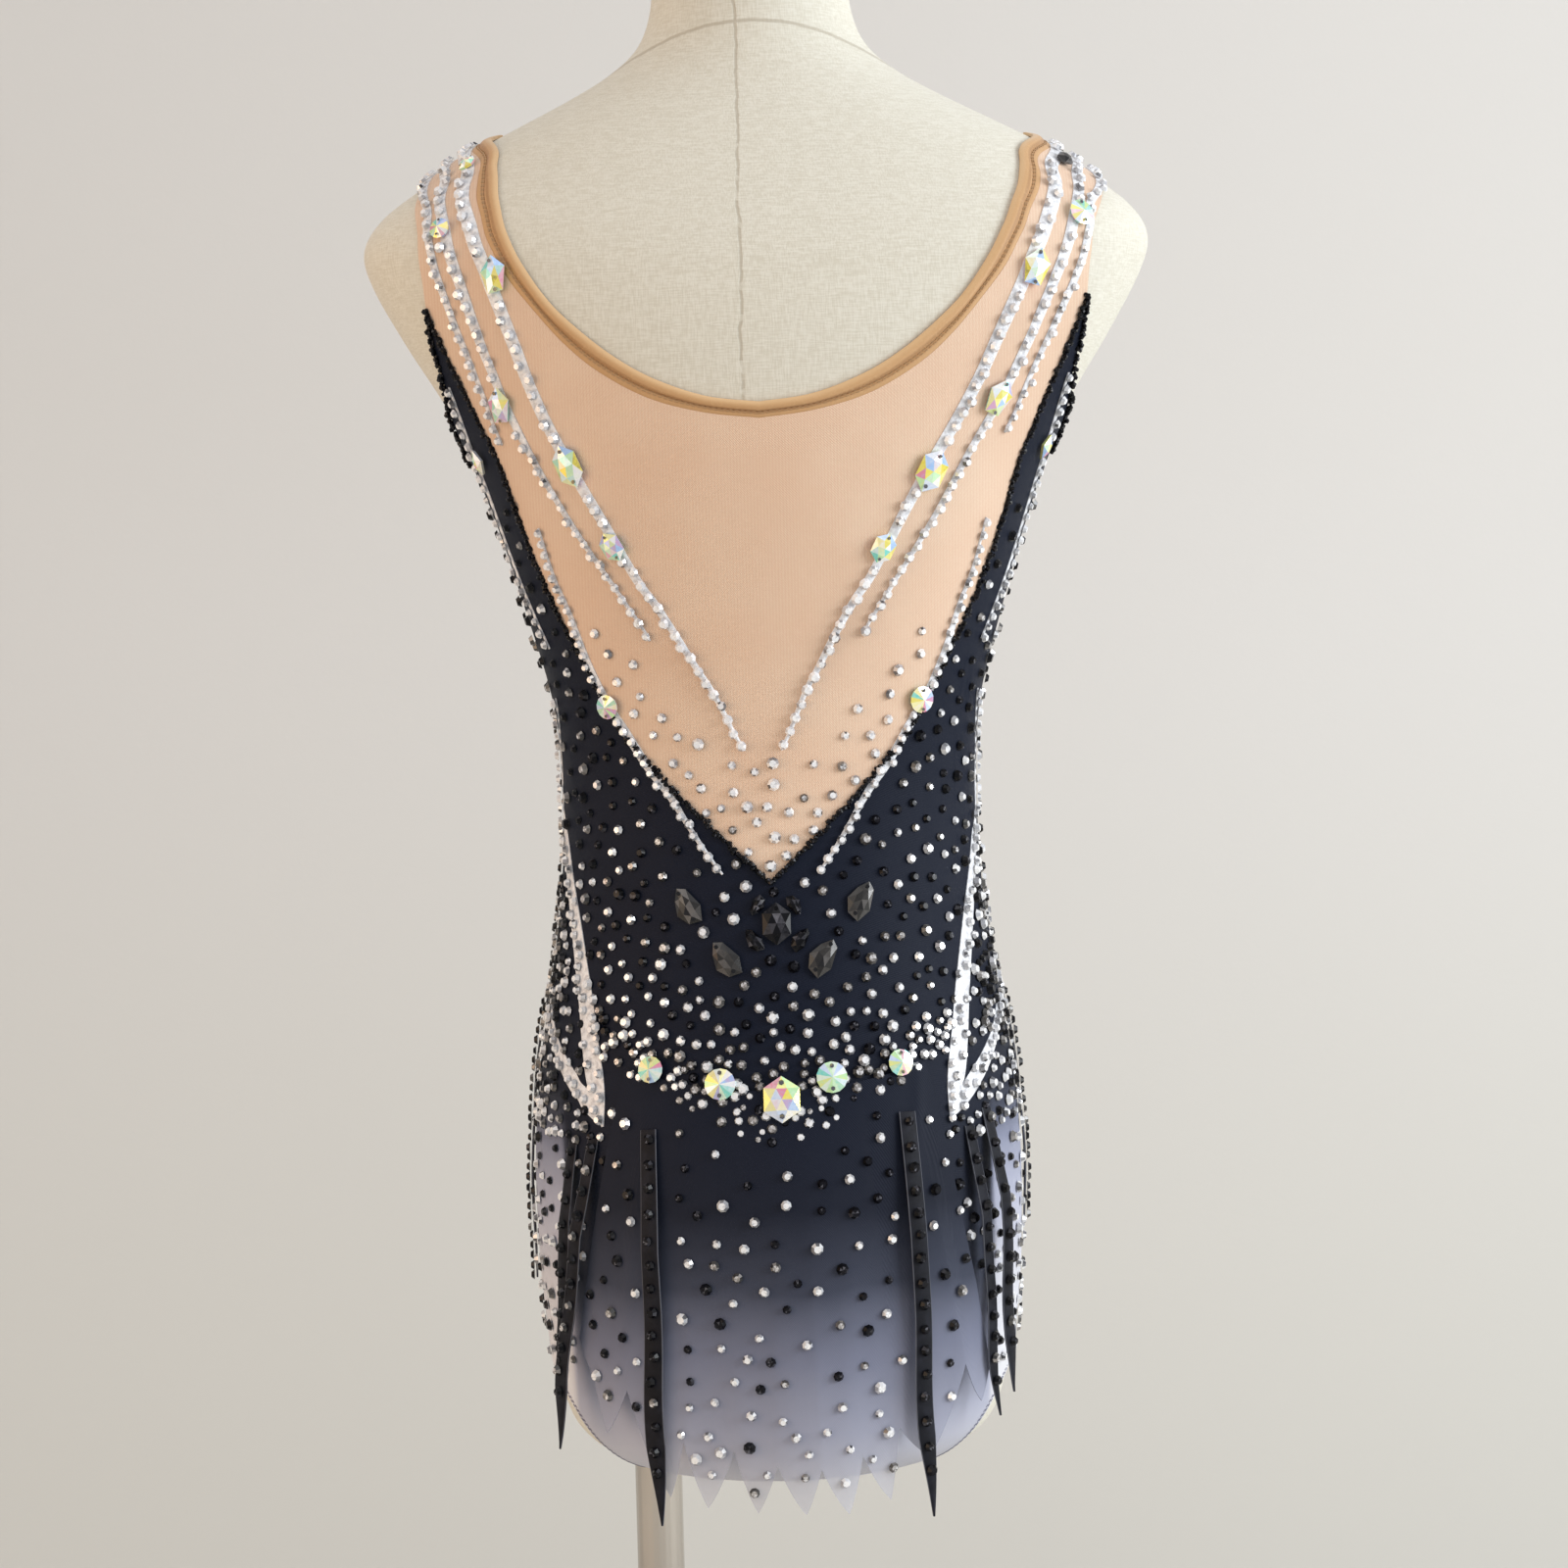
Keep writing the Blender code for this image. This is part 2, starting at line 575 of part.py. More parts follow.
def build_gusset(back_edge, front_edge, collection):
    """Crotch piece under the form, narrowed between the two leg openings."""
    grid = []
    for r in range(GUSSET_ROWS + 1):
        forward = r / GUSSET_ROWS
        narrowed = 1 - GUSSET_NARROWING * math.sin(math.pi * forward) ** GUSSET_ROUND
        half = []
        for back_place, front_place in zip(back_edge, front_edge):
            behind = skin(back_place.x, CROTCH_LEVEL, CLOTH_GAP)
            before = skin(180 - front_place.x, CROTCH_LEVEL, CLOTH_GAP)
            if r in (0, GUSSET_ROWS):
                half.append(before if r else behind)
                continue
            bare_back = ring_point(back_place.x, CROTCH_LEVEL)
            bare_front = ring_point(180 - front_place.x, CROTCH_LEVEL)
            spot = bare_back.lerp(bare_front, forward)
            half.append(underside(spot.x * narrowed, spot.y, CLOTH_GAP))
        mirrored = [Vector((-point.x, point.y, point.z)) for point in reversed(half[1:])]
        grid.append(mirrored + half)
    wall("gusset", pull_in(grid, SEAM_INSET), CLOTH_WALL, "ombre_mesh", collection)


def strip(name, centre, widths, normals, thickness, finish_name, collection):
    """Narrow wall along a line of points, each with its width and outward direction."""
    grid = []
    for i, point in enumerate(centre):
        ahead = centre[min(i + 1, len(centre) - 1)] - centre[max(i - 1, 0)]
        side = normals[i].cross(ahead).normalized() * (widths[i] / 2)
        grid.append([point - side, point + side])
    return wall(name, grid, thickness, finish_name, collection)


def band_shift(height):
    """How far to the right the shoulder bands lie at a height on the back."""
    for low, high in zip(BAND_SHIFT, BAND_SHIFT[1:]):
        if low.height <= height <= high.height:
            return low.x + (high.x - low.x) * (height - low.height) / (high.height - low.height)
    return 0.0


def build_band(name, stripes, sign, collection):
    """White tapered band on the skin, on the right for sign 1 and on the left for -1."""
    shifted = name.startswith("band")
    places = []
    for stripe in stripes:
        level = level_at(stripe.height)
        angle = 90.0
        if stripe.side != "ridge":
            shift = sign * band_shift(stripe.height) if shifted and stripe.side == "back" else 0.0
            angle = angle_at(stripe.x + shift, stripe.height, stripe.side)
        places.append(Vector((angle, level, stripe.width)))
    rough = [skin(place.x, place.y, BAND_LIFT) for place in places]
    length = sum((b - a).length for a, b in zip(rough, rough[1:]))
    path = smooth_path(places, max(6, round(length / BAND_STEP)))
    centre = [skin(sign * place.x, place.y, BAND_LIFT) for place in path]
    normals = [skin_normal(sign * place.x, place.y) for place in path]
    widths = [place.z for place in path]
    strip(name, centre, widths, normals, BAND_WALL, "silver_applique", collection)


def hang_point(x, height, face, lift, angle=None):
    """Point of cloth that follows the hips down to HANG_HEIGHT and hangs straight below."""
    held = max(height, HANG_HEIGHT)
    turn = angle_at(x, held, face) if angle is None else angle
    point = skin(turn, level_at(held), lift)
    drop = held - height
    outward = -1 if face == "back" else 1
    return Vector((point.x, point.y + outward * drop * HANG_DRIFT, point.z - drop))


def skirt_swell(x, down):
    """How far a soft fold lifts the skirt off the hips at a distance down it, 0 to 1."""
    return SKIRT_FOLD * down * (1 + math.sin(x / SKIRT_FOLD_WIDTH + SKIRT_FOLD_START))


def build_skirt(name, face, hem, collection):
    """Skirt panel over the briefs, gathered under the stone belt, with a pointed hem."""
    columns = [hem[0]]
    for before, after in zip(hem, hem[1:]):
        low = min(before.height, after.height)
        bow = low + (max(before.height, after.height) - low) * HEM_BOW
        columns.append(Spot((before.x + after.x) / 2, bow))
        columns.append(after)
    grid = []
    for r in range(SKIRT_ROWS + 1):
        down = r / SKIRT_ROWS
        row = []
        for column in columns:
            top_x = column.x * SKIRT_GATHER
            top = SKIRT_TOP_MIDDLE + SKIRT_TOP_RISE * (top_x / SKIRT_TOP_HALF) ** 2
            x = top_x + (column.x - top_x) * down ** SKIRT_FLARE
            height = top + (column.height - top) * down
            row.append(hang_point(x, height, face, SKIRT_LIFT + skirt_swell(x, down)))
        grid.append(row)
    wall(name, grid, SKIRT_WALL, "ombre_mesh", collection)


def ribbon_width(ribbon_top, widest, down):
    """Width of a ribbon at a distance down it, 0 to 1, tapering to its cut point."""
    if down < RIBBON_TAPER:
        return ribbon_top + (widest - ribbon_top) * down / RIBBON_TAPER
    return widest + (RIBBON_TIP - widest) * ((down - RIBBON_TAPER) / (1 - RIBBON_TAPER)) ** RIBBON_POINT


def build_ribbon(ribbon, collection):
    """Black ribbon sewn on at its top and hanging free over the skirt or briefs."""
    over_skirt = abs(ribbon.top_x) < SKIRT_TOP_HALF
    sewn = RIBBON_SEWN_SKIRT if over_skirt else RIBBON_SEWN_BODY
    centre, widths, normals = [], [], []
    for i in range(RIBBON_STEPS + 1):
        down = i / RIBBON_STEPS
        sway = RIBBON_SWAY * math.sin(math.pi * 2 * down) * down
        x = ribbon.top_x + (ribbon.tip_x - ribbon.top_x) * down + sway
        height = ribbon.top + (ribbon.tip - ribbon.top) * down
        rise = min(1.0, down / RIBBON_RISE)
        lift = sewn + (RIBBON_LIFT + ribbon.stand - sewn) * rise
        centre.append(hang_point(x, height, ribbon.face, lift))
        widths.append(ribbon_width(ribbon.top_width, ribbon.width, down))
        held = max(height, HANG_HEIGHT)
        out = skin_normal(angle_at(x, held, ribbon.face), level_at(held))
        normals.append(Vector((out.x, out.y, 0)).normalized())
    strip(ribbon.name, centre, widths, normals, RIBBON_WALL, "black_ribbon", collection)


def build_side_ribbon(name, sign, tip, collection):
    """Sequinned ribbon down the hip on the side line, seen edge on from the back."""
    centre, widths, normals = [], [], []
    for i in range(RIBBON_STEPS + 1):
        down = i / RIBBON_STEPS
        height = SIDE_RIBBON_TOP + (tip - SIDE_RIBBON_TOP) * down
        rise = min(1.0, down / RIBBON_RISE)
        lift = RIBBON_SEWN_BODY + SIDE_RIBBON_STAND * rise
        angle = sign * SIDE_RIBBON_ANGLE
        centre.append(hang_point(0, height, "back", lift, angle))
        widths.append(ribbon_width(SIDE_RIBBON_WIDTH, SIDE_RIBBON_WIDTH, down))
        normals.append(Vector((sign, 0, 0)))
    strip(name, centre, widths, normals, RIBBON_WALL, "black_ribbon", collection)


def stone_outline(kind, wide, tall):
    """Corners of a stone's girdle about its centre."""
    count = STONE_SIDES[kind]
    corners = []
    for i in range(count):
        turn = 2 * math.pi * i / count
        x, y = math.sin(turn), math.cos(turn)
        if kind == "drop":
            x *= math.sin(turn / 2) ** DROP_POINT
        if kind == "hexagon":
            y = math.copysign(HEXAGON_SHOULDER, y) if abs(y) < HEXAGON_CORNER else y
        corners.append((x * wide / 2, y * tall / 2))
    return corners


def build_stone(stone, collection):
    """Flat-backed faceted stone lying on the cloth, with a girdle and a small table."""
    level = level_at(stone.height)
    angle = angle_at(stone.x, stone.height)
    lift = STONE_LIFT_SKIRT if stone.height < BELT_HEIGHT else STONE_LIFT_BODY
    place = skin(angle, level, lift)
    out = skin_normal(angle, level)
    up = (Vector((0, 0, 1)) - out * out.z).normalized()
    right = up.cross(out)
    spin = Matrix.Rotation(math.radians(stone.turn), 3, out)
    right, up = spin @ right, spin @ up
    rings = []
    for scale, rise in ((STONE_BACK, 0), (1, STONE_GIRDLE), (STONE_TABLE, 1)):
        base = place + out * (rise * STONE_DEPTH)
        outline = stone_outline(stone.kind, stone.wide * scale, stone.tall * scale)
        rings.append([base + right * x + up * y for x, y in outline])
    colour = "aurora_crystal" if "belt" in stone.name else "smoke_crystal"
    loft(stone.name, rings, colour, collection)


def disc(name, x, radius, foot, height, sides, finish_name, collection, bevel=BASE_BEVEL):
    """Upright round piece with softened edges, standing at foot."""
    bpy.ops.mesh.primitive_cylinder_add(vertices=sides, radius=radius * MM, depth=height * MM,
                                        location=(x * MM, 0, (foot + height / 2) * MM))
    made = bpy.context.active_object
    made.name = name
    made.data.name = name
    made.data.materials.append(finish(finish_name))
    for holder in list(made.users_collection):
        holder.objects.unlink(made)
    collection.objects.link(made)
    if bevel:
        soft = made.modifiers.new("soft edge", "BEVEL")
        soft.width = bevel * MM
        soft.segments = 1
    return made


def build_form(collection):
    """Torso with its neck, the neck's cap, and the pole, socket and base that carry it."""
    levels = []
    for row in range(len(TORSO) - 1):
        levels.append(row)
        if row in FINE_ROWS:
            levels.append(row + 0.5)
    levels.append(len(TORSO) - 1)
    angles = [360 * c / TORSO_COLUMNS for c in range(TORSO_COLUMNS)]
    rings = [[ring_point(angle, level) for angle in angles] for level in levels]
    loft("form_torso", rings, "form_linen", collection)
    rim = rings[-1]
    cap = []
    for scale, rise in NECK_CAP_PROFILE:
        cap.append([Vector((p.x * scale, p.y * scale, p.z + rise)) for p in rim])
    loft("form_neck_cap", cap, "form_linen", collection)
    socket_foot = BASE_THICKNESS + TOUCH_GAP
    pole_foot = socket_foot + SOCKET_HEIGHT + TOUCH_GAP
    pole_head = TORSO[0].height - TOUCH_GAP
    disc("form_base", 0, BASE_RADIUS, 0, BASE_THICKNESS, BASE_SIDES, "base_steel", collection)
    disc("form_socket", POLE_X, SOCKET_RADIUS, socket_foot, SOCKET_HEIGHT, POLE_SIDES, "base_steel",
         collection)
    disc("form_pole", POLE_X, POLE_RADIUS, pole_foot, pole_head - pole_foot, POLE_SIDES, "chrome",
         collection, bevel=0)


def build_garment(collection):
    """All the cut and sewn pieces, the bands and the large stones."""
    back_seam = build_yoke("back", BACK_NECK_INNER, BACK_NECK_OUTER, BACK_BLACK_EDGE,
                           BACK_ARM_UP, collection)
    front_seam = build_yoke("front", FRONT_NECK_INNER, FRONT_NECK_OUTER, FRONT_BLACK_EDGE,
                            FRONT_ARM_UP, collection)
    back_crotch = build_body("back", back_seam, BACK_ARM_DOWN, collection)
    front_crotch = build_body("front", front_seam, FRONT_ARM_DOWN, collection)
    build_gusset(back_crotch, front_crotch, collection)
    for side, sign in (("left", -1), ("right", 1)):
        build_band("band_inner_" + side, INNER_BAND, sign, collection)
        build_band("band_middle_" + side, MIDDLE_BAND, sign, collection)
        build_band("band_outer_" + side, OUTER_BAND, sign, collection)
        build_band("flash_arm_" + side, ARM_FLASH, sign, collection)
        build_band("flash_v_" + side, V_FLASH, sign, collection)
        build_band("flash_hip_inner_" + side, HIP_INNER, sign, collection)
        build_band("flash_hip_outer_" + side, HIP_OUTER, sign, collection)
    build_skirt("skirt_back", "back", BACK_HEM, collection)
    build_skirt("skirt_front", "front", FRONT_HEM, collection)
    for ribbon in RIBBONS:
        build_ribbon(ribbon, collection)
    for name, sign, tip in SIDE_RIBBON_TIPS:
        build_side_ribbon(name, sign, tip, collection)
    for stone in STONES:
        build_stone(stone, collection)


def main():
    """Clear the scene and build the dress form and the leotard on it."""
    for item in list(bpy.data.objects):
        bpy.data.objects.remove(item)
    collection = bpy.data.collections.new("gymnastics_leotard")
    bpy.context.scene.collection.children.link(collection)
    build_form(collection)
    build_garment(collection)


if __name__ == "__main__":
    main()
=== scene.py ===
"""Rhythmic gymnastics leotard on a limbless dress form, dressed for rendering.

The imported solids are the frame. Each soft piece is made again here as a thin, finely divided
shell on the same skin, with its creases, trims and stones, and stands for its solid.

Tables are in millimetres, in the frame of the solids: +Z up, the wearer's back towards -Y.
A place on the skin is an angle round the body (0 at the centre back, 90 at the right side,
180 at the centre front) and a level, which is a position along the torso's rings.
"""

import logging
import math
from dataclasses import dataclass, field
from enum import Enum
from typing import Any, Callable, Sequence

import bmesh
import bpy
import numpy as np
from mathutils import Matrix, Vector


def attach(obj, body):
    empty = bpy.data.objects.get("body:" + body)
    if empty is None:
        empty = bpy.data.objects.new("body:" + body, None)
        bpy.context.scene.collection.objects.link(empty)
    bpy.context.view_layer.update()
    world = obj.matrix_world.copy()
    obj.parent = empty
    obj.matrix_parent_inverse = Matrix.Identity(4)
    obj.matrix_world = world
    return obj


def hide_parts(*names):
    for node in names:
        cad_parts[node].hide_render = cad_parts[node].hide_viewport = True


logging.basicConfig(level=logging.INFO, format="%(message)s")
LOG = logging.getLogger("leotard")

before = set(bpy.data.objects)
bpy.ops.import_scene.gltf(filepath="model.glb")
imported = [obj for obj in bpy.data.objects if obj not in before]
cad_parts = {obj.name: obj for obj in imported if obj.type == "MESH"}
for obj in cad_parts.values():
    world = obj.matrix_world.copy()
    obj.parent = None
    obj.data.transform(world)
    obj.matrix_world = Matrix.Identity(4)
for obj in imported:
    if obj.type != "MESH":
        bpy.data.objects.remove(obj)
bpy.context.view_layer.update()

MM = 0.001
BODY = "root"
SEED = 41

# Height, half width, depth to the back, depth to the front and fullness of each ring
TORSO = (
    (296.4, 12, 12, 12, 0.00), (296.6, 46, 42, 38, 0.00), (299.5, 80, 68, 60, 0.02),
    (311, 97, 84, 74, 0.04), (332, 104.5, 91, 79, 0.05), (360, 108.5, 95, 81, 0.06),
    (400, 111, 98, 82, 0.07), (440, 111, 96, 82, 0.07), (480, 107.5, 88, 82, 0.07),
    (520, 101, 78, 81, 0.08), (560, 95.5, 69, 79, 0.09), (605, 93.5, 63, 77, 0.10),
    (645, 97, 64, 77, 0.10), (690, 109, 70, 79, 0.10), (735, 123, 78, 82, 0.10),
    (775, 140, 83, 83, 0.10), (810, 161, 84, 80, 0.10), (836, 175, 81, 73, 0.10),
    (852, 178.5, 76.5, 66, 0.10), (866, 170, 71, 60, 0.10), (880, 151, 65, 54, 0.10),
    (893, 132, 59, 50, 0.08), (905, 109, 53, 47, 0.06), (917, 85, 47, 45, 0.04),
    (928, 66, 43, 44, 0.02), (940, 52.5, 40.5, 45, 0.00), (955, 46, 39.5, 46, 0.00),
    (975, 44, 39, 46, 0.00), (1000, 43.5, 39, 46, 0.00),
)

# Edges of the panels on the right half: distance from the centre line and height
BACK_NECK_INNER = (
    (0, 776), (23, 779), (45, 787), (62, 797), (77, 809), (90, 822), (101, 838), (108, 852),
    (112.5, 866), (115, 881), (117, 892),
)
BACK_NECK_OUTER = (
    (0, 769), (24, 772), (48, 779), (69, 791), (84, 804), (97, 819), (108.5, 834), (116, 848),
    (120.5, 861), (123.5, 876), (124.8, 887),
)
BACK_BLACK_EDGE = (
    (0, 566), (25, 590), (46, 612), (65, 636), (79, 663), (91, 687), (100, 709), (107, 729),
    (114, 752), (124, 774), (137, 803), (145, 822),
)
BACK_ARM_UP = (
    (145, 822), (146.6, 837), (148.5, 854), (152, 868), (152.8, 875),
)
BACK_ARM_DOWN = ((145, 822), (142, 803), (139, 787), (137, 771))
FRONT_NECK_INNER = ((0, 842), (28, 845), (54, 855), (76, 869), (92, 883), (102, 895))
FRONT_NECK_OUTER = ((0, 835), (30, 838), (58, 848), (82, 863), (99, 878), (110, 890))
FRONT_BLACK_EDGE = ((0, 716), (32, 734), (64, 753), (95, 775), (119, 794), (133, 808))
FRONT_ARM_UP = ((133, 808), (136, 828), (141, 848), (148, 866))
FRONT_ARM_DOWN = ((133, 808), (134, 793), (135, 779), (136, 766))
RIDGE_NECK_INNER = 900.5
RIDGE_NECK_OUTER = 896
RIDGE_ARM = 880
LEAN = 0.19
LEAN_LEVELS = (16, 20)
UNDERARM_HEIGHT = 755

# The leg opening from the crotch seam to the side: angle from the centre line and level
LEG_EDGE = ((50, 2.0), (55, 2.7), (61, 3.3), (69, 3.85), (79, 4.25), (90, 4.5))

# White bands: side, distance from the centre line, height and width
INNER_BAND = (
    ("back", 8, 624.5, 1.2), ("back", 12, 632, 1.8), ("back", 20, 650, 2.4),
    ("back", 26.5, 661, 2.8), ("back", 34.3, 675, 3.2), ("back", 43.4, 690, 3.6),
    ("back", 50.5, 700, 3.9), ("back", 61.5, 720, 4.6), ("back", 75, 744, 5.2),
    ("back", 88, 767, 5.6), ("back", 97, 785, 5.8), ("back", 105, 804, 6.0),
    ("back", 114, 825, 6.2), ("back", 121, 842, 6.4), ("back", 126.5, 857, 6.6),
    ("back", 130, 872, 6.6), ("back", 130, 884, 6.6), ("ridge", 0, 893.6, 6.6),
    ("front", 129, 882, 6.6), ("front", 120, 868, 6.4), ("front", 104, 845, 6.0),
    ("front", 84, 815, 5.6), ("front", 58, 780, 4.2), ("front", 30, 746, 1.4),
)
MIDDLE_BAND = (
    ("back", 46.5, 674, 1.2), ("back", 49.5, 680, 1.5), ("back", 55.4, 689, 1.8),
    ("back", 61.8, 699, 2.0), ("back", 68.4, 709, 2.3), ("back", 80.9, 729, 2.8),
    ("back", 93.8, 752, 3.4), ("back", 107, 776, 4.4), ("back", 115.5, 795, 4.8),
    ("back", 123, 813, 5.0), ("back", 131.5, 835, 5.2), ("back", 137.5, 855, 5.4),
    ("back", 140.5, 870, 5.4), ("back", 140.5, 880, 5.4), ("ridge", 0, 887.6, 5.4),
    ("front", 138, 876, 5.4), ("front", 130, 860, 5.2), ("front", 121, 840, 4.8),
    ("front", 104, 812, 3.6), ("front", 84, 786, 1.2),
)
OUTER_BAND = (
    ("back", 110, 762, 1.2), ("back", 114.5, 772, 2.0), ("back", 119.5, 785, 2.8),
    ("back", 124.5, 797, 3.2), ("back", 132.5, 815, 3.6), ("back", 140.5, 835, 3.8),
    ("back", 145, 852, 4.0), ("back", 147.8, 867, 4.0), ("ridge", 0, 882.4, 4.0),
    ("front", 144, 870, 4.0), ("front", 139, 855, 4.0), ("front", 132, 834, 3.4),
    ("front", 120, 812, 1.2),
)
ARM_FLASH = (
    ("back", 137, 789, 1.2), ("back", 130, 765, 3.8), ("back", 123, 744, 4.2),
    ("back", 116, 722, 4.0), ("back", 108, 699, 3.4), ("back", 96, 671, 1.2),
)
V_FLASH = (
    ("back", 98.3, 725, 1.0), ("back", 92.5, 704, 1.8), ("back", 85.5, 686, 2.8),
    ("back", 78.5, 665, 4.0), ("back", 70.5, 647, 4.4), ("back", 62, 633, 4.2),
    ("back", 53, 618, 3.8), ("back", 43.5, 605, 3.2), ("back", 34, 589, 2.2),
    ("back", 25.5, 576, 1.6), ("back", 21, 570, 1.0),
)
BAND_SHIFT = (
    (-2, 620), (-3, 650), (-4, 680), (-4, 750), (-1, 795), (1.5, 835), (1.5, 855), (0, 872),
)
HIP_INNER = (
    ("back", 94.5, 648, 1.2), ("back", 93, 606, 6.0), ("back", 91, 577, 7.4),
    ("back", 87, 544, 8.4), ("back", 83.4, 516, 9.4), ("back", 81, 493, 10.4),
    ("back", 79.3, 480, 10.4), ("back", 77.7, 470, 7.4), ("back", 76, 459.5, 1.2),
)
HIP_OUTER = (
    ("back", 100.5, 507, 2.0), ("back", 98.3, 493, 5.8), ("back", 93.2, 482.5, 7.6),
    ("back", 86.5, 473.5, 8.4), ("back", 80.5, 466, 6.4), ("back", 76.4, 460.5, 1.4),
)

# The skirt's hem: distance from the centre and height of each point and notch
BACK_HEM = (
    (-88, 364), (-81.5, 349), (-75.5, 325), (-65.5, 346), (-48.2, 301), (-42.6, 326), (-33, 296.5),
    (-21.4, 322), (-11.7, 295), (-3, 316), (8.6, 294.5), (15.3, 314), (26.7, 293.5), (33.2, 318),
    (45.1, 297), (49, 328.5), (61.7, 314), (76.5, 352), (83.7, 333.5), (88, 349),
)
FRONT_HEM = (
    (-84, 366), (-76, 322), (-62, 348), (-48, 306), (-35, 338), (-20, 304), (-8, 334),
    (8, 302), (22, 334), (36, 304), (50, 342), (64, 314), (76, 352), (84, 330),
)
HANG_HEIGHT = 400
HANG_DRIFT = 0.035

# Ribbons: face, top and tip, widths at the top and at the widest, how far they stand out
RIBBONS = {
    "left_outer": ("back", -89.5, 451, -91, 337, 6.0, 9.5, 0.0),
    "left_inner": ("back", -80, 454, -93, 314, 6.0, 9.5, 1.6),
    "back_left": ("back", -54.5, 460, -51, 289, 7.4, 9.4, 0.4),
    "back_right": ("back", 55.4, 465, 60.5, 289, 7.8, 8.4, 0.4),
    "right_inner": ("back", 84, 455, 90, 325, 6.0, 6.5, 0.0),
    "right_outer": ("back", 92, 461, 95.5, 334, 7.0, 9.0, 1.6),
    "front_left": ("front", -52, 462, -56, 300, 7.0, 9.0, 0.4),
    "front_right": ("front", 52, 462, 56, 300, 7.0, 9.0, 0.4),
}
# Ribbons on the side lines: side and tip, and the top and width of both
SIDE_RIBBONS = {"left_side": (-1, 377), "right_side": (1, 398)}
SIDE_RIBBON_TOP = 508
SIDE_RIBBON_WIDTH = 8.5

# Large sew-on stones: cut, finish, place on the back, size, turn and the node it stands for
LARGE_STONES = (
    ("round", "aurora", -53, 485.5, 11.8, 11.8, 0, "stone_belt_far_left"),
    ("round", "aurora", -23.5, 480, 13.8, 13.8, 0, "stone_belt_left"),
    ("hexagon", "aurora", 2.4, 473.2, 16.5, 20.5, 0, "stone_belt_centre"),
    ("round", "aurora", 23.8, 481.8, 13.8, 13.8, 0, "stone_belt_right"),
    ("round", "aurora", 53.2, 486, 11.8, 11.8, 0, "stone_belt_far_right"),
    ("drop", "smoke", -36.7, 556, 13.5, 18.5, 32, "stone_smoke_upper_left"),
    ("drop", "smoke", 38.5, 557, 13.5, 18.5, -30, "stone_smoke_upper_right"),
    ("drop", "smoke", -20.5, 533, 13.5, 18.5, 36, "stone_smoke_lower_left"),
    ("drop", "smoke", 21.5, 533, 13.5, 18.5, -34, "stone_smoke_lower_right"),
    ("hexagon", "jet", 2, 548, 13, 19, 0, "stone_jet_centre"),
    ("drop", "jet", -8, 541, 8, 12, 35, ""),
    ("drop", "jet", 12, 541, 8, 12, -35, ""),
    ("drop", "jet", -6, 556, 7, 10, 150, ""),
    ("drop", "jet", 10, 556, 7, 10, -150, ""),
    ("round", "aurora", -69, 645, 11, 11, 0, ""),
    ("round", "aurora", 67, 645, 12, 12, 0, ""),
    ("drop", "aurora", -128, 882, 7, 9, 150, ""),
    ("round", "aurora", -137, 854, 9.5, 9.5, 0, ""),
    ("pentagon", "aurora", -112.5, 833.5, 12.5, 18, 12, ""),
    ("pentagon", "aurora", -112, 779, 12.5, 17.5, 0, ""),
    ("hexagon", "aurora", -82.5, 751.5, 12.5, 20, 20, ""),
    ("hexagon", "aurora", -64.6, 716, 10, 14, 28, ""),
    ("lozenge", "aurora", -123.6, 756, 8, 12, 10, ""),
    ("pentagon", "smoke", 134, 883, 9, 9, 0, ""),
    ("round", "aurora", 141.5, 857, 12, 12, 0, ""),
    ("pentagon", "aurora", 120.7, 832.5, 13.5, 18.5, -12, ""),
    ("pentagon", "aurora", 103, 777, 13, 18.5, -20, ""),
    ("hexagon", "aurora", 73, 745.5, 13.5, 20, -25, ""),
    ("hexagon", "aurora", 51.6, 712.5, 10.5, 14, -24, ""),
    ("lozenge", "aurora", 125, 757, 8, 12, -10, ""),
)


class Side(Enum):
    """Which face of the garment a piece lies on."""

    BACK = "back"
    FRONT = "front"

    def angle(self, turn: np.ndarray) -> np.ndarray:
        """Angle round the body of an angle measured from this face's centre line."""
        return turn if self is Side.BACK else 180 - turn


class Shape(Enum):
    """Small shapes that Geometry Nodes repeat."""

    STONE = "stone"
    BEAD = "bead"
    STITCH = "stitch"


def lengths_along(points: np.ndarray) -> np.ndarray:
    """Length travelled along a line of points up to each of them."""
    steps = np.linalg.norm(np.diff(points, axis=0), axis=1)
    return np.concatenate([[0], np.cumsum(steps)])


def row_at(goal: float, travelled: np.ndarray, rows: np.ndarray) -> np.ndarray:
    """Values of the rows of a line at a length along it."""
    return np.array([np.interp(goal, travelled, column) for column in rows.T])


def mirrored(turn: np.ndarray, level: np.ndarray) -> tuple[np.ndarray, np.ndarray]:
    """Whole rows of angles and levels from those of the right half."""
    whole = np.concatenate([-turn[:, :0:-1], turn], axis=1)
    return whole, np.concatenate([level[:, :0:-1], level], axis=1)


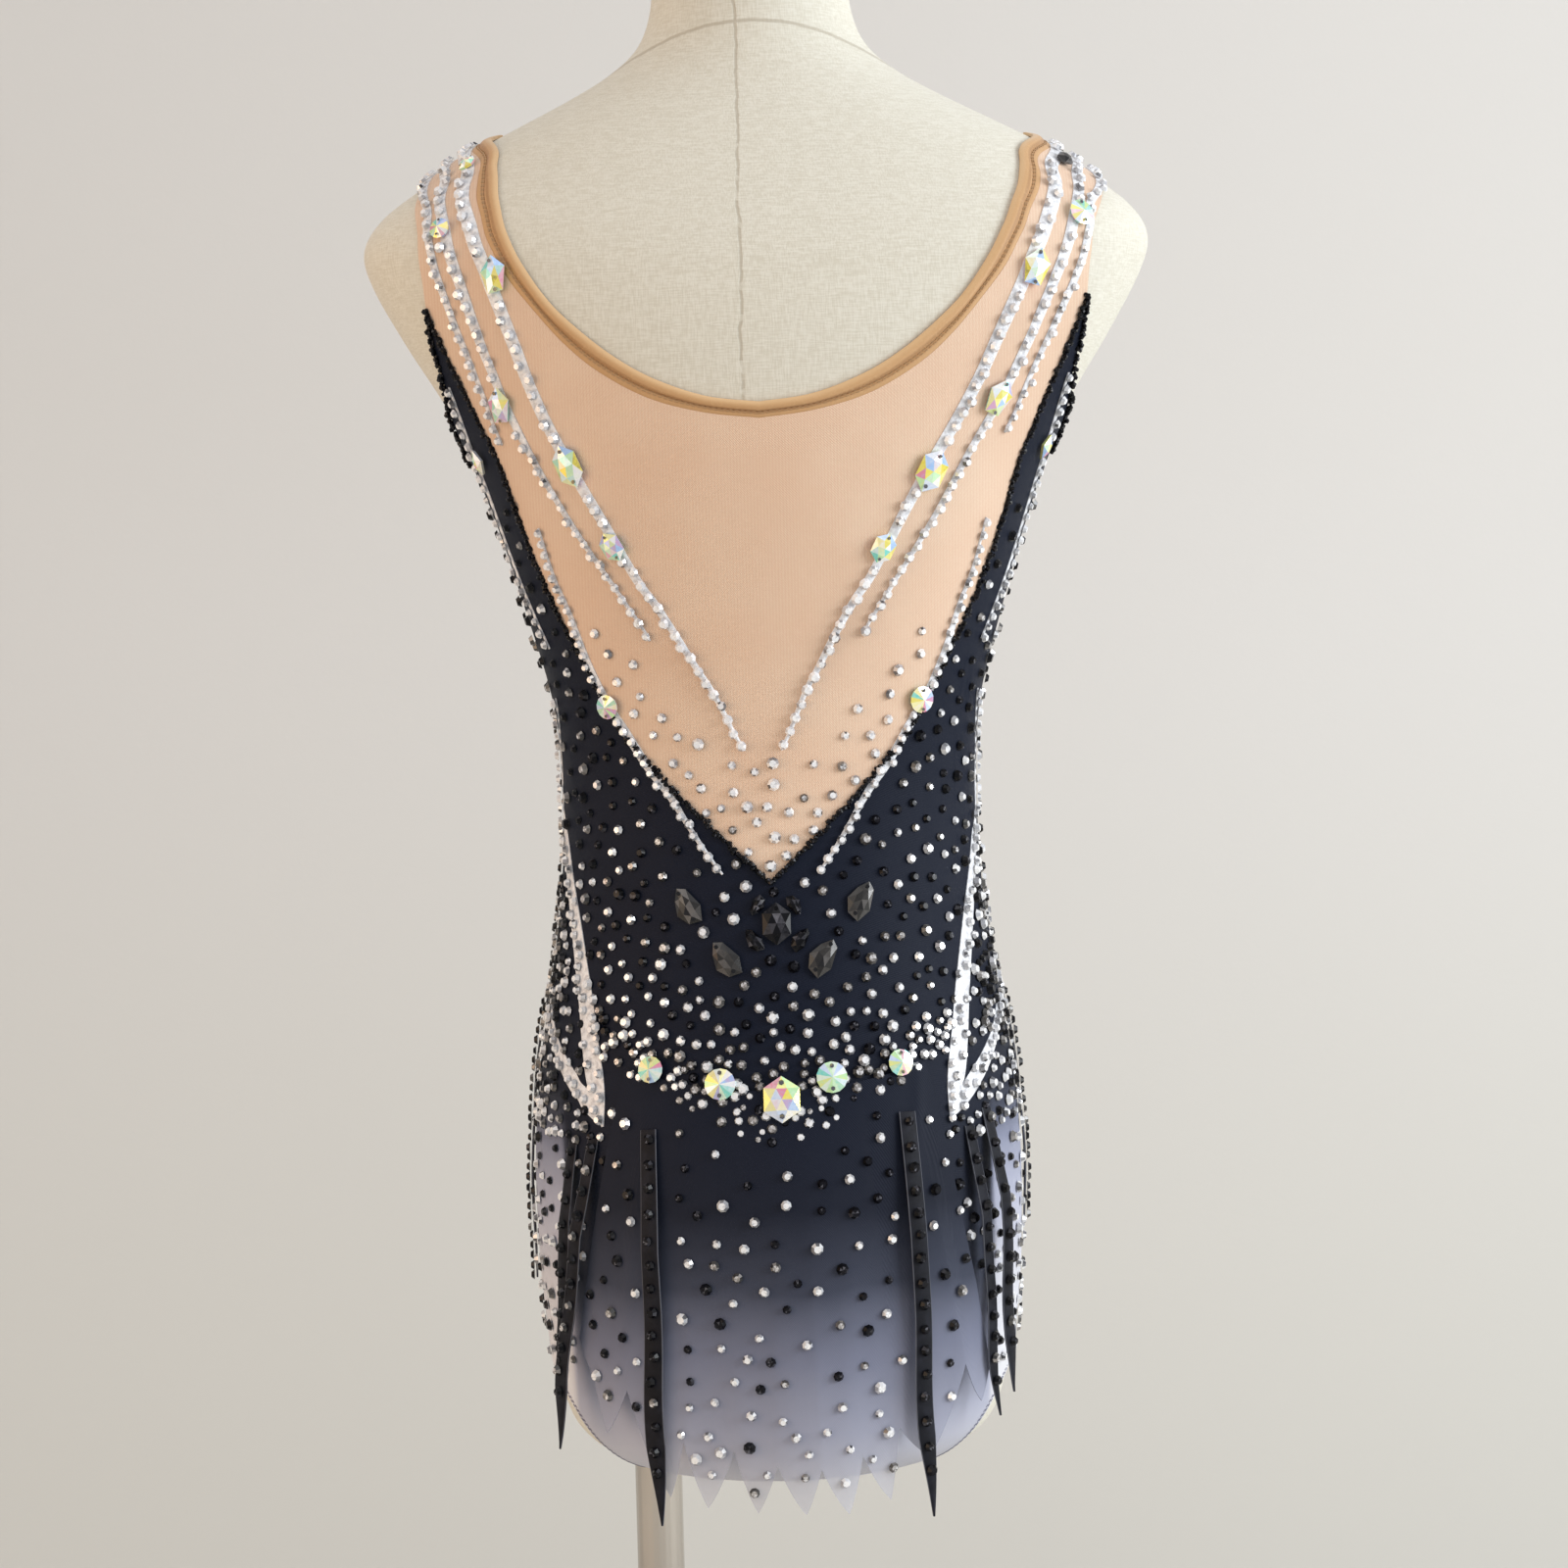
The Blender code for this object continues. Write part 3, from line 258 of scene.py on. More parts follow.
class Skin:
    """The torso's outer form as a smooth surface through its rings."""

    def __init__(self, rings: Sequence[Sequence[float]]) -> None:
        """Keep the rings and a fine table of their heights.

        Args:
            rings: height, half width, back depth, front depth and fullness of each ring.
        """
        self.rings = np.array(rings, float)
        self.last = len(rings) - 1
        self.fine_levels = np.linspace(0, self.last, 5601)
        self.fine_heights = np.maximum.accumulate(self.ring(self.fine_levels)[..., 0])

    def ring(self, level: np.ndarray) -> np.ndarray:
        """Ring values at levels, by a smooth curve through the rows."""
        level = np.clip(np.asarray(level, float), 0, self.last)
        row = np.minimum(level.astype(int), self.last - 1)
        t = (level - row)[..., None]
        before, start = self.rings[np.maximum(row - 1, 0)], self.rings[row]
        end, after = self.rings[row + 1], self.rings[np.minimum(row + 2, self.last)]
        square, cube = t * t, t ** 3
        value = (2 * cube - 3 * square + 1) * start + (3 * square - 2 * cube) * end
        value += (cube - 2 * square + t) * (end - before) / 2
        return value + (cube - square) * (after - start) / 2

    def bare(self, angle: np.ndarray, level: np.ndarray) -> np.ndarray:
        """Points of the bare skin at angles in degrees and levels."""
        ring = self.ring(level)
        turn = np.radians(np.asarray(angle, float))
        sine, cosine = np.sin(turn), np.cos(turn)
        depth = np.where(cosine > 0, ring[..., 2], ring[..., 3])
        y = -depth * cosine * (1 + ring[..., 4] * sine ** 2)
        return np.stack([ring[..., 1] * sine, y, ring[..., 0] + 0 * sine], axis=-1)

    @staticmethod
    def leaned(angle: np.ndarray, level: np.ndarray) -> np.ndarray:
        """Levels at which places of the garment lie, higher on the left shoulder than on the right."""
        share = np.clip((level - LEAN_LEVELS[0]) / (LEAN_LEVELS[1] - LEAN_LEVELS[0]), 0, 1)
        return level - LEAN * share * share * (3 - 2 * share) * np.sin(np.radians(angle))

    def normal(self, angle: np.ndarray, level: np.ndarray) -> np.ndarray:
        """Outward directions of the skin at places of the garment."""
        level = self.leaned(angle, level)
        across = self.bare(angle + 1, level) - self.bare(angle - 1, level)
        up = self.bare(angle, level + 0.02) - self.bare(angle, level - 0.02)
        out = np.cross(across, up)
        return out / np.maximum(np.linalg.norm(out, axis=-1, keepdims=True), 1e-9)

    def at(self, angle: np.ndarray, level: np.ndarray, lift: np.ndarray | float) -> np.ndarray:
        """Points that lie lift mm out from the skin."""
        lift = np.asarray(lift, float)[..., None]
        return self.bare(angle, self.leaned(angle, level)) + self.normal(angle, level) * lift

    def level(self, height: np.ndarray) -> np.ndarray:
        """Levels whose rings lie at the given heights."""
        return np.interp(height, self.fine_heights, self.fine_levels)

    def angle(self, x: np.ndarray, height: np.ndarray) -> np.ndarray:
        """Angle from the centre line of the point that lies x mm from it."""
        half = self.ring(self.level(height))[..., 1]
        return np.degrees(np.arcsin(np.clip(np.asarray(x, float) / half, -1, 1)))

    def hang(self, x: np.ndarray, height: np.ndarray, side: Side, lift: np.ndarray) -> np.ndarray:
        """Points of cloth that follows the hips and hangs straight below HANG_HEIGHT."""
        held = np.maximum(height, HANG_HEIGHT)
        point = self.at(side.angle(self.angle(x, held)), self.level(held), lift)
        drop = held - height
        outward = -1 if side is Side.BACK else 1
        point[..., 1] += outward * drop * HANG_DRIFT
        point[..., 2] -= drop
        return point

    def path(self, places: np.ndarray, count: int) -> np.ndarray:
        """Places evenly spaced by length along a smooth curve.

        Args:
            places: rows of angle, level and any further values to carry along.
            count: number of equal steps.

        Returns:
            count + 1 rows with the same columns.
        """
        places = np.asarray(places, float)
        fine = []
        for i in range(len(places) - 1):
            before, start = places[max(i - 1, 0)], places[i]
            end, after = places[i + 1], places[min(i + 2, len(places) - 1)]
            for t in np.arange(12) / 12:
                value = (2 * t ** 3 - 3 * t * t + 1) * start + (3 * t * t - 2 * t ** 3) * end
                value = value + (t ** 3 - 2 * t * t + t) * (end - before) / 2
                fine.append(value + (t ** 3 - t * t) * (after - start) / 2)
        fine.append(places[-1])
        fine = np.array(fine)
        travelled = lengths_along(self.bare(fine[:, 0], fine[:, 1]))
        goals = np.linspace(0, travelled[-1], count + 1)
        return np.stack([np.interp(goals, travelled, column) for column in fine.T], axis=1)

    def edge(self, spots: Sequence, count: int, end: float | None = None) -> np.ndarray:
        """Evenly spaced places along an edge of the right half, to the side line if asked."""
        table = np.array(spots, float)
        places = np.stack([self.angle(table[:, 0], table[:, 1]), self.level(table[:, 1])], 1)
        if end is not None:
            places = np.vstack([places, [90, self.level(end)]])
        return self.path(places, count)


SKIN = Skin(TORSO)


@dataclass(frozen=True)
class Fold:
    """One soft ridge in cloth, or a trough where its depth is under 0."""

    x: float
    height: float
    turn: float
    long: float
    wide: float
    depth: float

    def lift(self, x: np.ndarray, height: np.ndarray) -> np.ndarray:
        """How far the fold moves the cloth at places on it."""
        turn = math.radians(self.turn)
        along = (x - self.x) * math.cos(turn) + (height - self.height) * math.sin(turn)
        across = (height - self.height) * math.cos(turn) - (x - self.x) * math.sin(turn)
        return self.depth * np.exp(-(along / self.long) ** 2 - (across / self.wide) ** 2)


def folded(folds: Sequence[Fold], x: np.ndarray, height: np.ndarray) -> np.ndarray:
    """Sum of several folds at places on the cloth."""
    total = np.zeros(np.broadcast(x, height).shape)
    for fold in folds:
        total = total + fold.lift(x, height)
    return total


BACK_FOLDS = (
    Fold(-84, 640, 62, 26, 4, 0.5), Fold(-91, 602, 80, 22, 5, 0.55), Fold(88, 632, 112, 28, 5, 0.5),
    Fold(92, 590, 96, 20, 4, 0.6), Fold(-60, 520, 20, 24, 6, 0.35), Fold(64, 512, 160, 22, 6, 0.35),
    Fold(-88, 470, 75, 22, 5, 0.5), Fold(92, 455, 100, 26, 5, 0.5), Fold(-100, 404, 70, 24, 5, 0.6),
    Fold(101, 398, 112, 26, 5, 0.6), Fold(-97, 352, 48, 18, 4, 0.7), Fold(96, 348, 132, 18, 4, 0.7),
    Fold(20, 600, 120, 26, 8, 0.3), Fold(-34, 590, 55, 22, 7, 0.3),
)
FRONT_FOLDS = (
    Fold(-80, 622, 70, 26, 5, 0.5), Fold(84, 610, 108, 28, 5, 0.55), Fold(-50, 560, 30, 30, 7, 0.35),
    Fold(42, 548, 150, 28, 7, 0.35), Fold(-94, 430, 75, 24, 5, 0.5), Fold(95, 422, 102, 26, 5, 0.5),
    Fold(-90, 352, 50, 20, 5, 0.6), Fold(90, 356, 130, 20, 5, 0.6), Fold(-110, 742, 60, 18, 5, 0.5),
    Fold(112, 738, 122, 20, 5, 0.5),
)
YOKE_FOLDS = (
    Fold(-118, 800, 66, 22, 4, 0.35), Fold(118, 806, 116, 22, 4, 0.35), Fold(-40, 700, 60, 40, 7, 0.2),
    Fold(46, 690, 118, 42, 7, 0.2), Fold(-70, 760, 40, 26, 6, 0.18), Fold(60, 752, 150, 24, 6, 0.18),
)


def link(obj: bpy.types.Object) -> bpy.types.Object:
    """Put an object in the scene's collection."""
    bpy.context.scene.collection.objects.link(obj)
    return obj


def mesh_object(name: str, points: np.ndarray, faces: Sequence, uv: np.ndarray | None = None,
                smooth: bool = True) -> bpy.types.Object:
    """Object at the origin from points in mm.

    Args:
        name: the piece's name.
        points: n by 3 array in mm.
        faces: corner numbers of each face.
        uv: n by 2 array of each point's place on the flat cloth, in metres.
        smooth: whether the faces are shaded smooth.

    Returns:
        The linked object.
    """
    mesh = bpy.data.meshes.new(name)
    mesh.from_pydata((np.asarray(points) * MM).tolist(), [], [tuple(map(int, f)) for f in faces])
    if uv is not None:
        corners = np.empty(len(mesh.loops), int)
        mesh.loops.foreach_get("vertex_index", corners)
        layer = mesh.uv_layers.new(name="cloth")
        layer.data.foreach_set("uv", np.asarray(uv)[corners].ravel())
    mesh.polygons.foreach_set("use_smooth", [smooth] * len(mesh.polygons))
    mesh.update()
    if smooth:
        mesh.set_sharp_from_angle(angle=math.radians(52))
    return link(bpy.data.objects.new(name, mesh))


def grid_uv(grid: np.ndarray) -> np.ndarray:
    """Place of each point of a grid on the flat cloth, in metres, by lengths along it."""
    across = np.linalg.norm(np.diff(grid, axis=1), axis=2)
    down = np.linalg.norm(np.diff(grid, axis=0), axis=2)
    u = np.concatenate([np.zeros((len(grid), 1)), np.cumsum(across, axis=1)], axis=1)
    u -= u[:, [u.shape[1] // 2]]
    v = np.concatenate([np.zeros((1, grid.shape[1])), np.cumsum(down, axis=0)], axis=0)
    return np.stack([u, v], axis=-1) * MM


def grid_area(grid: np.ndarray) -> float:
    """Area of a grid of points in mm, in square metres."""
    a = grid[1:, 1:] - grid[:-1, :-1]
    b = grid[1:, :-1] - grid[:-1, 1:]
    return float(np.linalg.norm(np.cross(a, b), axis=-1).sum()) / 2 * MM * MM


def shell(name: str, outer: np.ndarray, inner: np.ndarray) -> bpy.types.Object:
    """Thin closed shell between two grids of points, outer side out.

    Args:
        name: the piece's name.
        outer: rows by columns by 3 array in mm.
        inner: the same for the cloth's inner side.

    Returns:
        The linked object, with its flat lengths as UVs.
    """
    rows, columns = outer.shape[:2]
    count = rows * columns
    number = np.arange(count).reshape(rows, columns)
    a, b = number[:-1, :-1].ravel(), number[:-1, 1:].ravel()
    c, d = number[1:, 1:].ravel(), number[1:, :-1].ravel()
    front = np.stack([a, b, c, d], axis=1)
    back = front[:, ::-1] + count
    rims = []
    for line in (number[0], number[-1][::-1], number[::-1, 0], number[:, -1]):
        rims.append(np.stack([line[1:], line[:-1], line[:-1] + count, line[1:] + count], axis=1))
    faces = np.concatenate([front, back] + rims)
    middle_row, middle_column = (rows - 1) // 2, (columns - 1) // 2
    here = outer[middle_row, middle_column]
    across = outer[middle_row, middle_column + 1] - here
    down = outer[middle_row + 1, middle_column] - here
    if np.dot(np.cross(across, down), here - inner[middle_row, middle_column]) < 0:
        faces = faces[:, ::-1]
    points = np.concatenate([outer.reshape(-1, 3), inner.reshape(-1, 3)])
    uv = grid_uv(outer).reshape(-1, 2)
    return mesh_object(name, points, faces, np.concatenate([uv, uv]))


class Num:
    """A shader socket that takes part in sums: each operator adds its Math node."""

    def __init__(self, graph: "Graph", socket: bpy.types.NodeSocket) -> None:
        """Wrap a socket of a graph."""
        self.graph = graph
        self.socket = socket

    def maths(self, operation: str, *values: Any) -> "Num":
        """Result of a Math node with these values."""
        node = self.graph.add("ShaderNodeMath", {"operation": operation}, dict(enumerate(values)))
        return Num(self.graph, node.outputs[0])

    def __add__(self, other: Any) -> "Num":
        """Sum."""
        return self.maths("ADD", self, other)

    def __radd__(self, other: Any) -> "Num":
        """Sum, with the number first."""
        return self.maths("ADD", other, self)

    def __sub__(self, other: Any) -> "Num":
        """Difference."""
        return self.maths("SUBTRACT", self, other)

    def __rsub__(self, other: Any) -> "Num":
        """Difference, with the number first."""
        return self.maths("SUBTRACT", other, self)

    def __mul__(self, other: Any) -> "Num":
        """Product."""
        return self.maths("MULTIPLY", self, other)

    def __rmul__(self, other: Any) -> "Num":
        """Product, with the number first."""
        return self.maths("MULTIPLY", other, self)

    def __truediv__(self, other: Any) -> "Num":
        """Quotient."""
        return self.maths("DIVIDE", self, other)

    def __abs__(self) -> "Num":
        """Size without its sign."""
        return self.maths("ABSOLUTE", self)

    def sine(self) -> "Num":
        """Sine of the value."""
        return self.maths("SINE", self)

    def greatest(self, other: Any) -> "Num":
        """The greater of two values."""
        return self.maths("MAXIMUM", self, other)

    def band(self, low: float, high: float) -> "Num":
        """0 below low, 1 above high, and a smooth step between."""
        settings = {"interpolation_type": "SMOOTHSTEP"}
        sockets = {"Value": self, "From Min": low, "From Max": high}
        return self.graph.number("ShaderNodeMapRange", settings, sockets)


class Graph:
    """A node tree, with one method that adds any node."""

    def __init__(self, tree: bpy.types.NodeTree) -> None:
        """Wrap an empty node tree."""
        self.tree = tree

    def add(self, kind: str, settings: dict | None = None, sockets: dict | None = None) -> bpy.types.Node:
        """Add a node.

        Args:
            kind: the node's type name.
            settings: its own settings, which are set first; stops are those of a ramp.
            sockets: value, socket or Num of each input, by name or number.

        Returns:
            The node.
        """
        node = self.tree.nodes.new(kind)
        for key, value in (settings or {}).items():
            if key == "stops":
                self.stops(node.color_ramp, value)
            else:
                setattr(node, key, value)
        for key, value in (sockets or {}).items():
            socket = node.inputs[key]
            if isinstance(value, Num):
                value = value.socket
            if isinstance(value, bpy.types.NodeSocket):
                self.tree.links.new(value, socket)
            else:
                socket.default_value = value
        return node

    @staticmethod
    def stops(ramp: bpy.types.ColorRamp, stops: Sequence) -> None:
        """Set a ramp's stops from (place, colour) pairs."""
        while len(ramp.elements) < len(stops):
            ramp.elements.new(1.0)
        for element, (place, colour) in zip(ramp.elements, stops):
            element.position = place
            element.color = (*colour, 1)

    def number(self, kind: str, settings: dict | None = None, sockets: dict | None = None,
               output: int | str = 0) -> Num:
        """Add a node and give one of its outputs as a number."""
        return Num(self, self.add(kind, settings, sockets).outputs[output])

    def noise(self, where: Any, scale: float, detail: float = 2.0, rough: float = 0.5) -> Num:
        """Noise value between 0 and 1 at a place."""
        sockets = {"Vector": where, "Scale": scale, "Detail": detail, "Roughness": rough}
        return self.number("ShaderNodeTexNoise", None, sockets)

    def mix(self, factor: Any, first: Any, second: Any) -> bpy.types.NodeSocket:
        """Colour between two colours."""
        first = (*first, 1) if isinstance(first, tuple) else first
        second = (*second, 1) if isinstance(second, tuple) else second
        node = self.add("ShaderNodeMix", {"data_type": "RGBA"}, {0: factor, 6: first, 7: second})
        return node.outputs[2]

    def ramp(self, value: Any, stops: Sequence) -> bpy.types.NodeSocket:
        """Colour of a ramp at a value."""
        return self.add("ShaderNodeValToRGB", {"stops": stops}, {"Fac": value}).outputs[0]

    def bump(self, height: Any, strength: float, distance: float) -> bpy.types.NodeSocket:
        """Normal bent by a height."""
        sockets = {"Height": height, "Strength": strength, "Distance": distance}
        return self.add("ShaderNodeBump", None, sockets).outputs[0]


class Material(Graph):
    """A material under construction, with the coordinates that the finishes use."""

    def __init__(self, name: str) -> None:
        """Start an empty material."""
        self.material = bpy.data.materials.new(name)
        self.material.use_nodes = True
        self.material.node_tree.nodes.clear()
        super().__init__(self.material.node_tree)
        coordinates = self.add("ShaderNodeTexCoord")
        self.place = coordinates.outputs["Object"]
        self.flat = coordinates.outputs["UV"]
        split = self.add("ShaderNodeSeparateXYZ", None, {0: self.place})
        self.x, self.y, self.z = (Num(self, socket) for socket in split.outputs)

    def along(self) -> tuple[Num, Num]:
        """Across and along the flat cloth, in metres."""
        split = self.add("ShaderNodeSeparateXYZ", None, {0: self.flat})
        return Num(self, split.outputs[0]), Num(self, split.outputs[1])

    def attribute(self, name: str) -> Num:
        """Value of a piece's own attribute."""
        return self.number("ShaderNodeAttribute", {"attribute_name": name}, None, "Fac")

    def weave(self, pitch: float) -> Num:
        """Height of a plain weave with threads this far apart, in metres."""
        across, down = self.along()
        turns = 2 * math.pi / pitch
        return (across * turns).sine() * (down * turns).sine()

    def done(self, **sockets: Any) -> bpy.types.Material:
        """Finish the material with a Principled shader."""
        names = {key.replace("_", " "): value for key, value in sockets.items()}
        shader = self.add("ShaderNodeBsdfPrincipled", None, names)
        self.add("ShaderNodeOutputMaterial", None, {"Surface": shader.outputs[0]})
        return self.material


@dataclass(frozen=True)
class Linen:
    """Cream linen of the dress form, with slubs and the dark line of its seams."""

    name: str = "form_linen"
    colour: tuple = (0.73, 0.705, 0.62)
    shade: tuple = (0.62, 0.585, 0.49)
    seam: tuple = (0.4, 0.35, 0.27)
    seam_x: float = -0.0068

    def make(self) -> bpy.types.Material:
        """Build the material."""
        m = Material(self.name)
        threads = m.add("ShaderNodeMapping", None, {"Vector": m.place, "Scale": (1, 1, 0.12)})
        wefts = m.add("ShaderNodeMapping", None, {"Vector": m.place, "Scale": (0.12, 0.12, 1)})
        warp = m.noise(threads.outputs[0], 1500, 2)
        weft = m.noise(wefts.outputs[0], 1500, 2)
        cloth = warp * 0.5 + weft * 0.5
        cloudy = m.noise(m.place, 9, 3)
        wobble = (m.noise(m.place, 60, 3, 0.6) - 0.5) * 0.0045
        stitch = m.noise(m.place, 150, 1).band(0.36, 0.42) * 0.6 + 0.4
        line = (1 - abs(m.x - self.seam_x + wobble).band(0.0003, 0.0010)) * stitch
        base_arch = m.z + m.x * m.x * 4.2
        ring = 1 - abs(base_arch - 0.9455 + wobble * 0.4).band(0.0003, 0.0011)
        ring = ring * (1 - abs(m.x).band(0.06, 0.066))
        seams = (line * (0 - m.y).band(0.0, 0.01)).greatest(ring) * 0.6
        colour = m.mix(cloth.band(0.35, 0.66), self.shade, self.colour)
        colour = m.mix(cloudy * 0.2, colour, self.shade)
        colour = m.mix(seams, colour, self.seam)
        height = cloth - seams * 1.4
        return m.done(Base_Color=colour, Roughness=0.88, Sheen_Weight=0.15,
                      Normal=m.bump(height, 0.35, 0.0006))


@dataclass(frozen=True)
class PowerMesh:
    """Nude stretch mesh: fine net that lets a little of the cream form show."""

    name: str = "nude_mesh"
    colour: tuple = (0.712, 0.472, 0.325)
    pale: tuple = (0.80, 0.62, 0.468)

    def make(self) -> bpy.types.Material:
        """Build the material."""
        m = Material(self.name)
        net = m.weave(0.0011)
        rib = (m.x * (2 * math.pi / 0.0014)).sine()
        soft = m.noise(m.place, 22, 3)
        grain = m.noise(m.place, 1400, 1)
        tone = net * 0.16 + rib * 0.09 + soft * 0.45 + grain * 0.3
        colour = m.mix(tone.band(0.1, 0.75), self.colour, self.pale)
        return m.done(Base_Color=colour, Roughness=0.62, Sheen_Weight=0.25,
                      Normal=m.bump(net + grain * 0.6, 0.25, 0.0004))


@dataclass(frozen=True)
class Binding:
    """Tan elastic binding folded over the neck edge, with painted shade along its sewn groove."""

    name: str = "tan_binding"
    colour: tuple = (0.55, 0.32, 0.145)
    pale: tuple = (0.66, 0.43, 0.22)
    # Painted shade colour for the groove between the rolled lip and the flat edge.
    dark: tuple = (0.36, 0.185, 0.07)

    def make(self) -> bpy.types.Material:
        """Build the material."""
        m = Material(self.name)
        fleck = m.noise(m.place, 900, 2)
        patch = m.noise(m.place, 60, 2)
        across = m.along()[1] + (patch - 0.5) * 0.0006
        colour = m.mix(across.band(0.0006, 0.0034), self.pale, self.colour)
        # Painted shade: the binding is darkened along the groove where the shell dips between its lip and
        # its flat edge.
        groove = 1 - abs(across - 0.0053).band(0.0003, 0.0016)
        colour = m.mix(groove * 0.8, colour, self.dark)
        colour = m.mix(fleck.band(0.5, 0.75) * 0.3, colour, self.pale)
        return m.done(Base_Color=colour, Roughness=0.6, Sheen_Weight=0.2,
                      Normal=m.bump(fleck + patch, 0.25, 0.0004))


@dataclass(frozen=True)
class Ombre:
    """Black cloth that fades through slate to grey lavender towards the hem."""

    name: str = "black_lycra"
    alpha_top: float = 1.0
    alpha_hem: float = 1.0
    pitch: float = 0.0008
    stops: tuple = (
        (0.00, (0.74, 0.74, 0.78)), (0.20, (0.60, 0.60, 0.66)), (0.34, (0.42, 0.435, 0.54)),
        (0.48, (0.215, 0.23, 0.315)), (0.62, (0.050, 0.057, 0.086)), (0.78, (0.0105, 0.0135, 0.026)),
        (1.00, (0.0045, 0.0075, 0.0190)),
    )
    low: float = 0.255
    high: float = 0.475
    # How strongly the sides are lightened by painted sheen, partly the thin cloth showing the form beneath.
    side_sheen_and_show_through: float = 0.0

    def make(self) -> bpy.types.Material:
        """Build the material."""
        m = Material(self.name)
        cloudy = (m.noise(m.place, 26, 3) - 0.5) * 0.06
        share = (m.z - self.low) / (self.high - self.low) + cloudy
        # Painted sheen: below the waist the ramp turns lighter at the body's sides, where light grazes the
        # cloth; this is partly the thin cloth showing the form beneath.
        if self.side_sheen_and_show_through:
            side_sheen_mask = abs(m.x).band(0.092, 0.0975) * (1 - m.z.band(0.44, 0.502))
            share = share - side_sheen_mask * self.side_sheen_and_show_through
        knit = m.weave(self.pitch)
        grain = m.noise(m.place, 1600, 1)
        colour = m.ramp(share, self.stops)
        colour = m.mix((grain * 0.5 + knit * 0.25).band(0.35, 0.8) * 0.04, colour, (0.3, 0.31, 0.36))
        sockets = {"Base_Color": colour, "Roughness": 0.55, "Specular_IOR_Level": 0.14,
                   "Sheen_Weight": 0.02, "Normal": m.bump(knit + grain, 0.2, 0.0004)}
        if self.alpha_hem < 1:
            clear = share.band(0.16, 0.66) * (self.alpha_top - self.alpha_hem)
            sockets["Alpha"] = clear + self.alpha_hem
        return m.done(**sockets)


@dataclass(frozen=True)
class Satin:
    """White satin strips under the stones."""

    name: str = "silver_applique"
    colour: tuple = (0.86, 0.87, 0.9)
    shade: tuple = (0.6, 0.6, 0.63)

    def make(self) -> bpy.types.Material:
        """Build the material."""
        m = Material(self.name)
        crinkle = m.noise(m.place, 420, 2)
        colour = m.mix(crinkle.band(0.3, 0.62), self.shade, self.colour)
        return m.done(Base_Color=colour, Roughness=0.3, Sheen_Weight=0.3,
                      Normal=m.bump(crinkle, 0.5, 0.0012))


@dataclass(frozen=True)
class RibbonCloth:
    """Black ribbon with a bright line where its edges were cut."""

    name: str = "black_ribbon"
    colour: tuple = (0.005, 0.0055, 0.0095)
    # Colour of the painted sheen patches.
    glow: tuple = (0.012, 0.013, 0.021)
    cut: tuple = (0.2, 0.21, 0.25)

    def make(self) -> bpy.types.Material:
        """Build the material."""
        m = Material(self.name)
        sheen_patch_noise = m.noise(m.place, 160, 3)
        knit = m.weave(0.0008)
        # Painted sheen: lighter, bluer patches of random noise on the black ribbon.
        colour = m.mix(sheen_patch_noise.band(0.35, 0.75), self.colour, self.glow)
        colour = m.mix(m.attribute("cut_edge").band(0.7, 1.0) * 0.6, colour, self.cut)
        return m.done(Base_Color=colour, Roughness=0.5, Specular_IOR_Level=0.16,
                      Normal=m.bump(knit + sheen_patch_noise, 0.2, 0.0004))


@dataclass(frozen=True)
class Crystal:
    """Foil-backed glass whose facets each get a painted reflection, over the stone's own tint."""

    name: str
    stops: tuple
    metallic: float = 0.25
    roughness: float = 0.1
    level: float = 0.5
    coat: float = 0.5

    def make(self) -> bpy.types.Material:
        """Build the material."""
        m = Material(self.name)
        fire = m.attribute("fire")
        swirl = (m.noise(m.place, 700, 1) - 0.5) * 0.08
        colour = m.ramp(fire + swirl, self.stops)
        return m.done(Base_Color=colour, Roughness=self.roughness, Metallic=self.metallic,
                      Specular_IOR_Level=self.level, Coat_Weight=self.coat, Coat_Roughness=0.03)


# The ramps paint each facet from its value: painted reflections and glints on every kind, over the glass's
# own dark tone in the grey, jet and smoke stones and the coating's own tints in the aurora stones.
CLEAR = Crystal("clear_crystal", (
    (0.0, (0.05, 0.05, 0.055)), (0.14, (0.28, 0.28, 0.3)), (0.3, (0.7, 0.71, 0.74)),
    (0.44, (1.0, 1.0, 1.0)), (0.58, (0.42, 0.42, 0.45)), (0.66, (0.3, 0.3, 0.32)),
    (0.74, (0.75, 0.76, 0.79)), (0.82, (1.0, 1.0, 1.0)), (1.0, (0.93, 0.94, 0.98)),
))
FROST = Crystal("frost_crystal", (
    (0.0, (0.3, 0.3, 0.32)), (0.16, (0.62, 0.63, 0.66)), (0.34, (0.84, 0.85, 0.88)),
    (0.5, (0.95, 0.95, 0.97)), (0.6, (0.5, 0.5, 0.53)), (0.68, (0.72, 0.73, 0.76)),
    (0.8, (0.9, 0.9, 0.92)), (1.0, (1.0, 1.0, 1.0)),
), metallic=0.1)
GREY = Crystal("grey_crystal", (
    (0.0, (0.02, 0.02, 0.022)), (0.3, (0.09, 0.085, 0.08)), (0.48, (0.36, 0.34, 0.33)),
    (0.62, (0.05, 0.05, 0.05)), (0.72, (0.17, 0.16, 0.155)), (0.86, (0.4, 0.38, 0.37)),
    (1.0, (0.8, 0.8, 0.83)),
))
JET = Crystal("jet_crystal", (
    (0.0, (0.0015, 0.0015, 0.0025)), (0.56, (0.004, 0.004, 0.006)), (0.64, (0.05, 0.05, 0.06)),
    (0.72, (0.003, 0.003, 0.005)), (0.93, (0.007, 0.007, 0.01)), (1.0, (0.12, 0.12, 0.14)),
), metallic=0.0, roughness=0.2, level=0.18, coat=0.04)
